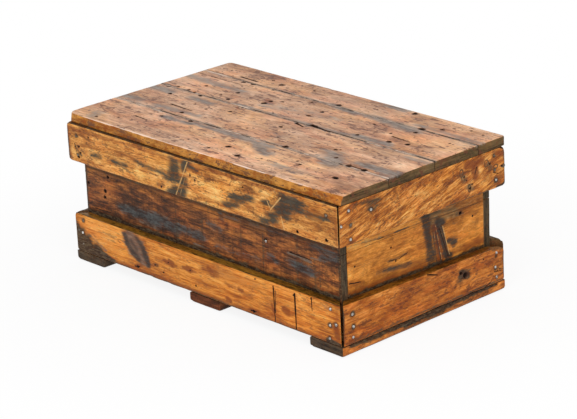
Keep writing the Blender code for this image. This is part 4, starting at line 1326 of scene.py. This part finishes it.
def make_lid():
    for place, seams in LID_SEAMS.items():
        board = Board("lid_board_" + place, X, Z, 1, "lid")
        board.wear = 0.4
        board.step = FINE
        board.drawn = 0.5
        board.end_shine = 0.1
        board.arris.update(low=0.0016, high=0.0016, end=0.0022)
        board.corner.update(LID_CORNERS.get(place, {}))
        if place == "front":
            board.arris["low"] = 0.0026
            # A stronger painted highlight along the front board's top edge
            board.shine = 1.5
            board.leans += LID_LEANS
        if place == "back":
            board.arris["high"] = 0.0026
        marks = dict(LID_MARKS)
        limit = board.half[1] + LID_OVERLAP
        for kind in ("holes", "slits"):
            marks[kind] = [mark for mark in LID_MARKS[kind] if abs(board.on_board(*mark[:2])[1]) < limit]
        board.mark(marks)
        for edge in seams:
            reach = EDGE_SIGNS[edge] * board.half[1]
            line = (-board.half[0], reach, board.half[0], reach)
            board.strokes.append(("grime", *line, *SEAM_LINE))
            board.strokes.append(("grey", *line, *SEAM_STAIN))
            board.dark_edges[edge] = 1.0
        board.make("lid_plank_" + place, "lid")
    for place in ("left", "middle", "right"):
        cleat = Board("lid_cleat_" + place, Y, Z, -1, "inside")
        cleat.arris.update(low=0.003, high=0.003, end=0.003)
        cleat.scatter(holes=5, strokes=6)
        cleat.make("lid_batten_" + place, "lid")


# Each side's grain, outward axis and outward sign
BAND_SIDES = {"front": (X, Y, -1), "right": (Y, X, 1), "back": (X, Y, 1), "left": (Y, X, -1)}

# Bands: finish, the photograph's marks, and the radius of the top corner at the far end where it is worn
BANDS = {
    ("upper", "front"): ("upper_band", FRONT_UPPER_MARKS, None),
    ("upper", "right"): ("figured_band", RIGHT_UPPER_MARKS, 0.018),
    ("upper", "back"): ("upper_band", None, 0.015),
    ("upper", "left"): ("figured_band", None, None),
    ("lower", "front"): ("lower_band", FRONT_LOWER_MARKS, None),
    ("lower", "right"): ("red_band", RIGHT_LOWER_MARKS, 0.014),
    ("lower", "back"): ("lower_band", None, 0.012),
    ("lower", "left"): ("red_band", None, None),
}
CRISP_CORNERS = {"front": 1, "right": -1}
CRISP_RADIUS = 0.0025
WORN_RADIUS = 0.0075
# How dark the upper bands' top faces are painted: a painted shadow in the gap under the lid
UPPER_TOP_PAINTED_SHADE = {"front": 0.65, "right": 0.4, "back": 0.4, "left": 0.4}
# The top faces of the back and left lower bands are painted darker, like the front's ledge
LOWER_TOP_DARKENING = {"back": 0.5, "left": 0.5}
FIGURE_TILT = math.radians(-16)
RIGHT_FALL = 0.010
# A painted shadow on the ledge at the right end of the back lower band, where the mitred ends meet
BACK_CORNER_SHADE = {"grime": [(345, 106, 396, 106, 9, 1)]}
NAIL_STAIN = (6.5, 0.85)

# Nail heads on the bands: millimetres on the face, and 1 for bright; the first two stand for the CAD nails
NAILS = {
    ("upper", "front"): [(-368.5, 281.3, 0), (368.5, 281.3, 0), (-367, 240, 0)],
    ("upper", "right"): [
        (-199.5, 261.3, 0), (199.5, 261.3, 0), (-203, 291, 1), (-224, 265, 1), (-201, 233, 1),
        (-145, 277, 1), (198, 291, 0), (226, 264, 0), (203, 240, 1),
    ],
    ("upper", "back"): [
        (368.5, 281.3, 1), (-368.5, 281.3, 0), (367, 240, 1), (-366, 238, 1), (382, 262, 0), (-384, 258, 1),
    ],
    ("upper", "left"): [
        (199.5, 261.3, 1), (-199.5, 261.3, 0), (203, 290, 1), (-202, 291, 1), (201, 234, 0),
        (-200, 235, 1), (223, 262, 1),
    ],
    ("lower", "front"): [
        (-368.5, 93.5, 0), (368.5, 93.5, 1), (366, 60, 1), (382.5, 65, 1), (364, 32.5, 1), (-373, 66, 1),
        (-385, 69, 0), (-373, 40, 0),
    ],
    ("lower", "right"): [
        (-199.5, 56.5, 1), (199.5, 56.5, 1), (-201, 82.5, 1), (-201, 35.5, 1), (203, 86, 1), (203, 34.5, 1),
    ],
    ("lower", "back"): [
        (368.5, 93.5, 1), (-368.5, 93.5, 1), (367, 62, 0), (366, 36, 1), (-369, 60, 1), (-368, 38, 0),
    ],
    ("lower", "left"): [
        (199.5, 56.5, 1), (-199.5, 56.5, 1), (201, 83, 0), (200, 36, 1), (-201, 84, 1), (-202, 35, 1),
    ],
}


def make_bands():
    for (level, side), (finish, marks, worn_top) in BANDS.items():
        board = Board(f"{level}_band_{side}", *BAND_SIDES[side], finish)
        board.mitre = True
        board.arris.update(low=0.0028, high=0.0028, end=0.0014)
        if level == "upper":
            # Painted shadow on the band's top face, under the lid
            board.dark_edges["high"] = UPPER_TOP_PAINTED_SHADE[side]
            board.drawn = 0.55
        else:
            board.arris["high"] = 0.0042
            board.dark_edges["low"] = 0.9
            # The ledge's top face is painted darker on the back and the left
            board.dark_edges["high"] = LOWER_TOP_DARKENING.get(side, 0.0)
        for end, height in board.corner:
            crisp = CRISP_CORNERS.get(side) == end
            board.corner[(end, height)] = CRISP_RADIUS if crisp else WORN_RADIUS
        if worn_top:
            board.corner[(1, 1)] = worn_top
        if marks:
            board.step = FINE
            board.mark(marks)
        else:
            board.scatter(holes=9, strokes=14)
        board.mark({"grime": [(u, v, u, v, *NAIL_STAIN) for u, v, _ in NAILS[(level, side)]]})
        # Painted shadow on the ledge at the back corner
        if (level, side) == ("lower", "back"):
            board.mark(BACK_CORNER_SHADE)
        if finish == "figured_band":
            board.tilt = FIGURE_TILT
        if (level, side) == ("lower", "right"):
            board.fall = RIGHT_FALL
        board.make(f"{level}_batten_{side}", "chest")


# The two boards of these walls show as one face: their seam is tight, and their grain runs on
WALL_SEEDS = {"front": 41, "right": 740}
WALL_MARKS = {"front": FRONT_WALL_MARKS, "right": RIGHT_WALL_MARKS}
TIGHT_SEAM = 0.0002
TIGHT_ARRIS = 0.0001
OPEN_ARRIS = 0.0009


def make_walls():
    for side, (grain, out, sign) in BAND_SIDES.items():
        prefix = f"{side}_wall" if grain == X else f"{side}_end"
        front = side == "front"
        for level, seam in (("lower", "high"), ("upper", "low")):
            finish = "front_wall" if front else "end_wall"
            board = Board(f"{prefix}_{level}_board", grain, out, sign, finish)
            if front:
                board.wear = 0.2
                board.drawn = 0.6
            if side in WALL_SEEDS:
                board.arris[seam] = TIGHT_ARRIS
                board.step = FINE
                board.seed = WALL_SEEDS[side]
                board.half[1] += TIGHT_SEAM / 2
                board.centre[Z] += EDGE_SIGNS[seam] * TIGHT_SEAM / 2
                board.mark(WALL_MARKS[side])
            else:
                board.arris[seam] = OPEN_ARRIS
                board.scatter(holes=6, strokes=12)
            board.make(f"{prefix}_{level}_plank", "chest")


FLOOR_STEP = (0.010, 0.006, 0.008)
SKID_STEP = (0.0045, 0.0030, 0.008)
SKID_SECTION = {(-1, -1): 0.008, (-1, 1): 0.008, (1, -1): 0.0025, (1, 1): 0.0025}
SKID_CORNERS = {(-1, -1): 0.006, (1, -1): 0.007}


def make_floor_and_skids():
    for number in range(1, 5):
        board = Board(f"floor_board_{number}", X, Z, 1, "inside")
        board.scatter(holes=8, strokes=10)
        board.step = FLOOR_STEP
        board.make(f"floor_plank_{number}", "chest")
    for place in ("left", "middle", "right"):
        finish = "red_skid" if place == "middle" else "skid"
        board = Board(f"skid_{place}", Y, X, -1 if place == "left" else 1, finish)
        board.arris.update(low=0.0012, high=0.0012, end=0.0035)
        board.section = SKID_SECTION
        board.corner.update(SKID_CORNERS)
        if place == "right":
            board.step = SKID_STEP
            board.mark(RIGHT_SKID_MARKS)
        else:
            # Stained like the others, but without nail holes
            board.scatter(holes=2, strokes=8)
            board.holes.clear()
        board.make(f"skid_runner_{place}", "chest")


# Nails

NAIL_RADIUS = 0.0030
NAIL_HEIGHT = 0.0013
NAIL_SIDES = 18
SMALLEST_NAIL = 0.92
NAIL_SPREAD = 0.16
NAIL_DENTS = 0.035
NAIL_SEED_STEP = 32
NAIL_SIZE_MIX = 37
NAIL_SIZES = 10
NAIL_PROFILE = [
    (0.0, 1.0), (0.42, 0.94), (0.74, 0.72), (0.93, 0.38),
    (1.0, 0.0), (0.96, -0.45), (0.55, -0.7), (0.0, -0.7),
]
BAND_FACE = {"upper": (0.4003, 0.2313), "lower": (0.3983, 0.2293)}
WALL_NAIL = Vector((0.174, -0.2085, 0.176))
WALL_NAIL_SEED = 5
WALL_NAIL_DENTS = 0.05
SHARP_ANGLE = math.radians(50)


def turned_mesh(profile, sides, seed, rough):
    """A round solid about Z from (radius, height) pairs, top to bottom, dented a little."""
    draw = np.random.default_rng(seed)
    shape = bmesh.new()
    rings = []
    for radius, height in profile:
        if radius == 0:
            rings.append([shape.verts.new((0, 0, height))])
            continue
        corners = []
        for step in range(sides):
            turn = 2 * math.pi * step / sides
            reach = radius * (1 + rough * draw.uniform(-1, 1))
            corners.append(shape.verts.new((reach * math.cos(turn), reach * math.sin(turn), height)))
        rings.append(corners)
    for above, below in zip(rings, rings[1:]):
        for step in range(sides):
            after = (step + 1) % sides
            if len(above) == 1:
                shape.faces.new((above[0], below[step], below[after]))
            elif len(below) == 1:
                shape.faces.new((above[step], below[0], above[after]))
            else:
                shape.faces.new((above[step], below[step], below[after], above[after]))
    return shape


def join_shapes(name, shapes, materials, body, nodes):
    """One piece from several bmeshes, each with its own place."""
    whole = bmesh.new()
    for shape, matrix in shapes:
        shape.transform(matrix)
        part = bpy.data.meshes.new(name + "_part")
        shape.to_mesh(part)
        shape.free()
        whole.from_mesh(part)
        bpy.data.meshes.remove(part)
    mesh = bpy.data.meshes.new(name)
    whole.to_mesh(mesh)
    whole.free()
    mesh.shade_smooth()
    mesh.set_sharp_from_angle(angle=SHARP_ANGLE)
    for material in materials:
        mesh.materials.append(material)
    add_piece(name, mesh, body, nodes)


def facing(point, outward):
    return Matrix.Translation(point) @ outward.to_track_quat("Z", "Y").to_matrix().to_4x4()


def nail_head(size, seed, dents):
    profile = [(radius * NAIL_RADIUS * size, height * NAIL_HEIGHT) for radius, height in NAIL_PROFILE]
    return turned_mesh(profile, NAIL_SIDES, seed, dents)


def make_nails():
    bright = steel_material(
        "bright_nails", bright=(222, 220, 216), dark=(140, 134, 126), roughness=0.30, rust=0.35,
    )
    dull = steel_material(
        "dull_nails", bright=(134, 122, 108), dark=(62, 52, 44), roughness=0.5, rust=0.8,
    )
    for (level, side), points in NAILS.items():
        grain, out, sign = BAND_SIDES[side]
        outward = Vector((0, 0, 0))
        outward[out] = sign
        shapes = []
        for number, (u, v, shine) in enumerate(points):
            place = Vector((0, 0, v * MM))
            place[grain] = u * MM
            place[out] = sign * BAND_FACE[level][out]
            seed = number * NAIL_SEED_STEP + ord(side[0])
            size = SMALLEST_NAIL + NAIL_SPREAD * (seed * NAIL_SIZE_MIX % NAIL_SIZES) / NAIL_SIZES
            head = nail_head(size, seed, NAIL_DENTS)
            for face in head.faces:
                face.material_index = 1 - shine
            shapes.append((head, facing(place, outward)))
        ends = ("left", "right") if grain == X else ("front", "back")
        nodes = [f"{level}_band_{side}_nail_{end}" for end in ends]
        join_shapes(f"nail_heads_{level}_{side}", shapes, (bright, dull), "chest", nodes)
    head = nail_head(1.0, WALL_NAIL_SEED, WALL_NAIL_DENTS)
    spot = facing(WALL_NAIL, Vector((0, -1, 0)))
    join_shapes("nail_head_wall_front", [(head, spot)], (bright,), "chest", ())


# Hinges: the leaves and pins keep their CAD shapes under an old finish, and the screws get slotted heads

HINGE_GRAIN = 420.0
SCREW_SLOT = 0.0009
SCREW_SLOT_DEPTH = 0.0007
SCREW_DENTS = 0.01
SCREW_TURN = 47
HALF_TURN = 180
SCREW_PROFILE = [
    (0.0, 0.0), (0.0026, 0.0), (0.0033, -0.0002), (0.0016, -0.0014), (0.0016, -0.0110), (0.0, -0.0130),
]


def slotted_screw(seed, turn):
    """A countersunk screw with its slot turned a little."""
    shape = turned_mesh(SCREW_PROFILE, NAIL_SIDES, seed, SCREW_DENTS)
    edge = SCREW_SLOT / 2
    for side in (-1, 1):
        everything = shape.verts[:] + shape.edges[:] + shape.faces[:]
        bmesh.ops.bisect_plane(shape, geom=everything, plane_co=(0, side * edge, 0), plane_no=(0, 1, 0))
    shape.normal_update()
    tops = [face for face in shape.faces if face.normal.z > FACING]
    slot = [face for face in tops if abs(face.calc_center_median().y) < edge]
    grown = bmesh.ops.extrude_face_region(shape, geom=slot)["geom"]
    bmesh.ops.delete(shape, geom=slot, context="FACES_ONLY")
    moved = [item for item in grown if isinstance(item, bmesh.types.BMVert)]
    bmesh.ops.translate(shape, verts=moved, vec=(0, 0, -SCREW_SLOT_DEPTH))
    bmesh.ops.rotate(shape, verts=shape.verts, matrix=Matrix.Rotation(turn, 3, "Z"))
    return shape


def make_hinges():
    iron = steel_material(
        "old_hinge", bright=(92, 86, 80), dark=(46, 42, 39), roughness=0.5, rust=0.55,
        grain=HINGE_GRAIN, edge=0.0009,
    )
    worn = steel_material(
        "hinge_screws", bright=(150, 144, 134), dark=(78, 70, 62), roughness=0.42, rust=0.6,
        grain=HINGE_GRAIN, edge=0.0004,
    )
    for name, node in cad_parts.items():
        if name.startswith("hinge_") and "_screw_" not in name:
            node.data.materials.clear()
            node.data.materials.append(iron)
    for side in ("left", "right"):
        for part, body in (("box", "chest"), ("lid", "lid")):
            nodes = [f"hinge_{side}_{part}_screw_{number}" for number in (1, 2)]
            shapes = []
            for node in nodes:
                low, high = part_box(node)
                head = Vector(((low[X] + high[X]) / 2, high[Y], (low[Z] + high[Z]) / 2))
                seed = sum(ord(letter) for letter in node)
                screw = slotted_screw(seed, math.radians(seed * SCREW_TURN % HALF_TURN))
                shapes.append((screw, facing(head, Vector((0, 1, 0)))))
            join_shapes(f"hinge_{side}_{part}_screws", shapes, (worn,), body, nodes)


# Stage

WHITE = (1.0, 1.0, 1.0, 1.0)
FLOOR_COLOUR = (0.94, 0.94, 0.94, 1.0)
FLOOR_SIZE = 20.0
FLOOR_DROP = 0.0004
FLOOR_GLOW_NEAR = 0.88
FLOOR_FADE = (0.5, 1.1)
WORLD_LIGHT = 0.66
SOFTBOX_SIZE = 3.0
SOFTBOX_ENERGY = 75.0
SOFTBOX_PLACE = Vector((1.7, -1.9, 3.2))
SOFTBOX_TARGET = Vector((0, 0, 0.15))


def white_to_camera(nodes):
    """1 for rays that show the background itself or its reflection."""
    path = nodes.add("LightPath").outputs
    shown = nodes.most(path["Is Camera Ray"], path["Is Glossy Ray"])
    return nodes.most(shown, path["Is Transmission Ray"])


def make_floor():
    mesh = bpy.data.meshes.new("floor")
    shape = bmesh.new()
    bmesh.ops.create_grid(shape, x_segments=4, y_segments=4, size=FLOOR_SIZE)
    shape.to_mesh(mesh)
    shape.free()
    floor = put_in_scene("floor", mesh)
    floor.location.z = -FLOOR_DROP
    material, nodes, shader = new_material("pale_floor")
    nodes.plug(shader, {"Base Color": FLOOR_COLOUR, "Roughness": 0.9, "Specular IOR Level": 0.0})
    glow = nodes.add("Emission", {"Color": WHITE, "Strength": 1.0})
    away = nodes.add("VectorMath", {0: nodes.add("TexCoord").outputs["Object"]}, operation="LENGTH")
    far = nodes.fade(away.outputs["Value"], *FLOOR_FADE)
    glowing = nodes.onto(FLOOR_GLOW_NEAR, far, 1 - FLOOR_GLOW_NEAR)
    share = nodes.times(white_to_camera(nodes), glowing)
    blend = nodes.add("MixShader", {0: share, 1: shader.outputs[0], 2: glow.outputs[0]})
    nodes.plug(nodes.tree.nodes["Material Output"], {"Surface": blend.outputs[0]})
    mesh.materials.append(material)


def make_light():
    world = bpy.data.worlds.new("studio")
    bpy.context.scene.world = world
    world.use_nodes = True
    nodes = Nodes(world.node_tree)
    light = nodes.add("Background", {"Color": WHITE, "Strength": WORLD_LIGHT})
    seen = nodes.add("Background", {"Color": WHITE, "Strength": 1.0})
    inputs = {0: white_to_camera(nodes), 1: light.outputs[0], 2: seen.outputs[0]}
    nodes.add("OutputWorld", {"Surface": nodes.add("MixShader", inputs).outputs[0]})

    lamp = bpy.data.lights.new("softbox", "AREA")
    lamp.shape = "RECTANGLE"
    lamp.size = SOFTBOX_SIZE
    lamp.size_y = SOFTBOX_SIZE
    lamp.energy = SOFTBOX_ENERGY
    softbox = put_in_scene("softbox", lamp)
    softbox.location = SOFTBOX_PLACE
    softbox.rotation_euler = (SOFTBOX_TARGET - SOFTBOX_PLACE).to_track_quat("-Z", "Y").to_euler()


def make_camera():
    level = math.cos(CAMERA_ELEVATION)
    east, south = math.sin(CAMERA_AZIMUTH) * level, -math.cos(CAMERA_AZIMUTH) * level
    back = Vector((east, south, math.sin(CAMERA_ELEVATION)))
    right = (-back).cross(Vector((0, 0, 1))).normalized()
    up = right.cross(-back)
    turn, lean = math.cos(CAMERA_ROLL), math.sin(CAMERA_ROLL)
    across = right * turn + up * lean
    upward = up * turn - right * lean
    data = bpy.data.cameras.new("camera")
    data.sensor_fit = "HORIZONTAL"
    data.sensor_width = SENSOR_WIDTH
    data.lens = CAMERA_FOCAL_PIXELS / IMAGE_WIDTH * SENSOR_WIDTH
    camera = put_in_scene("camera", data)
    place = Matrix((across, upward, back)).transposed().to_4x4()
    place.translation = CAMERA_TARGET + back * CAMERA_DISTANCE
    camera.matrix_world = place
    bpy.context.scene.camera = camera


make_camera()
make_floor()
make_light()
make_lid()
make_bands()
make_walls()
make_floor_and_skids()
make_nails()
make_hinges()
bpy.context.scene.view_settings.view_transform = "Standard"
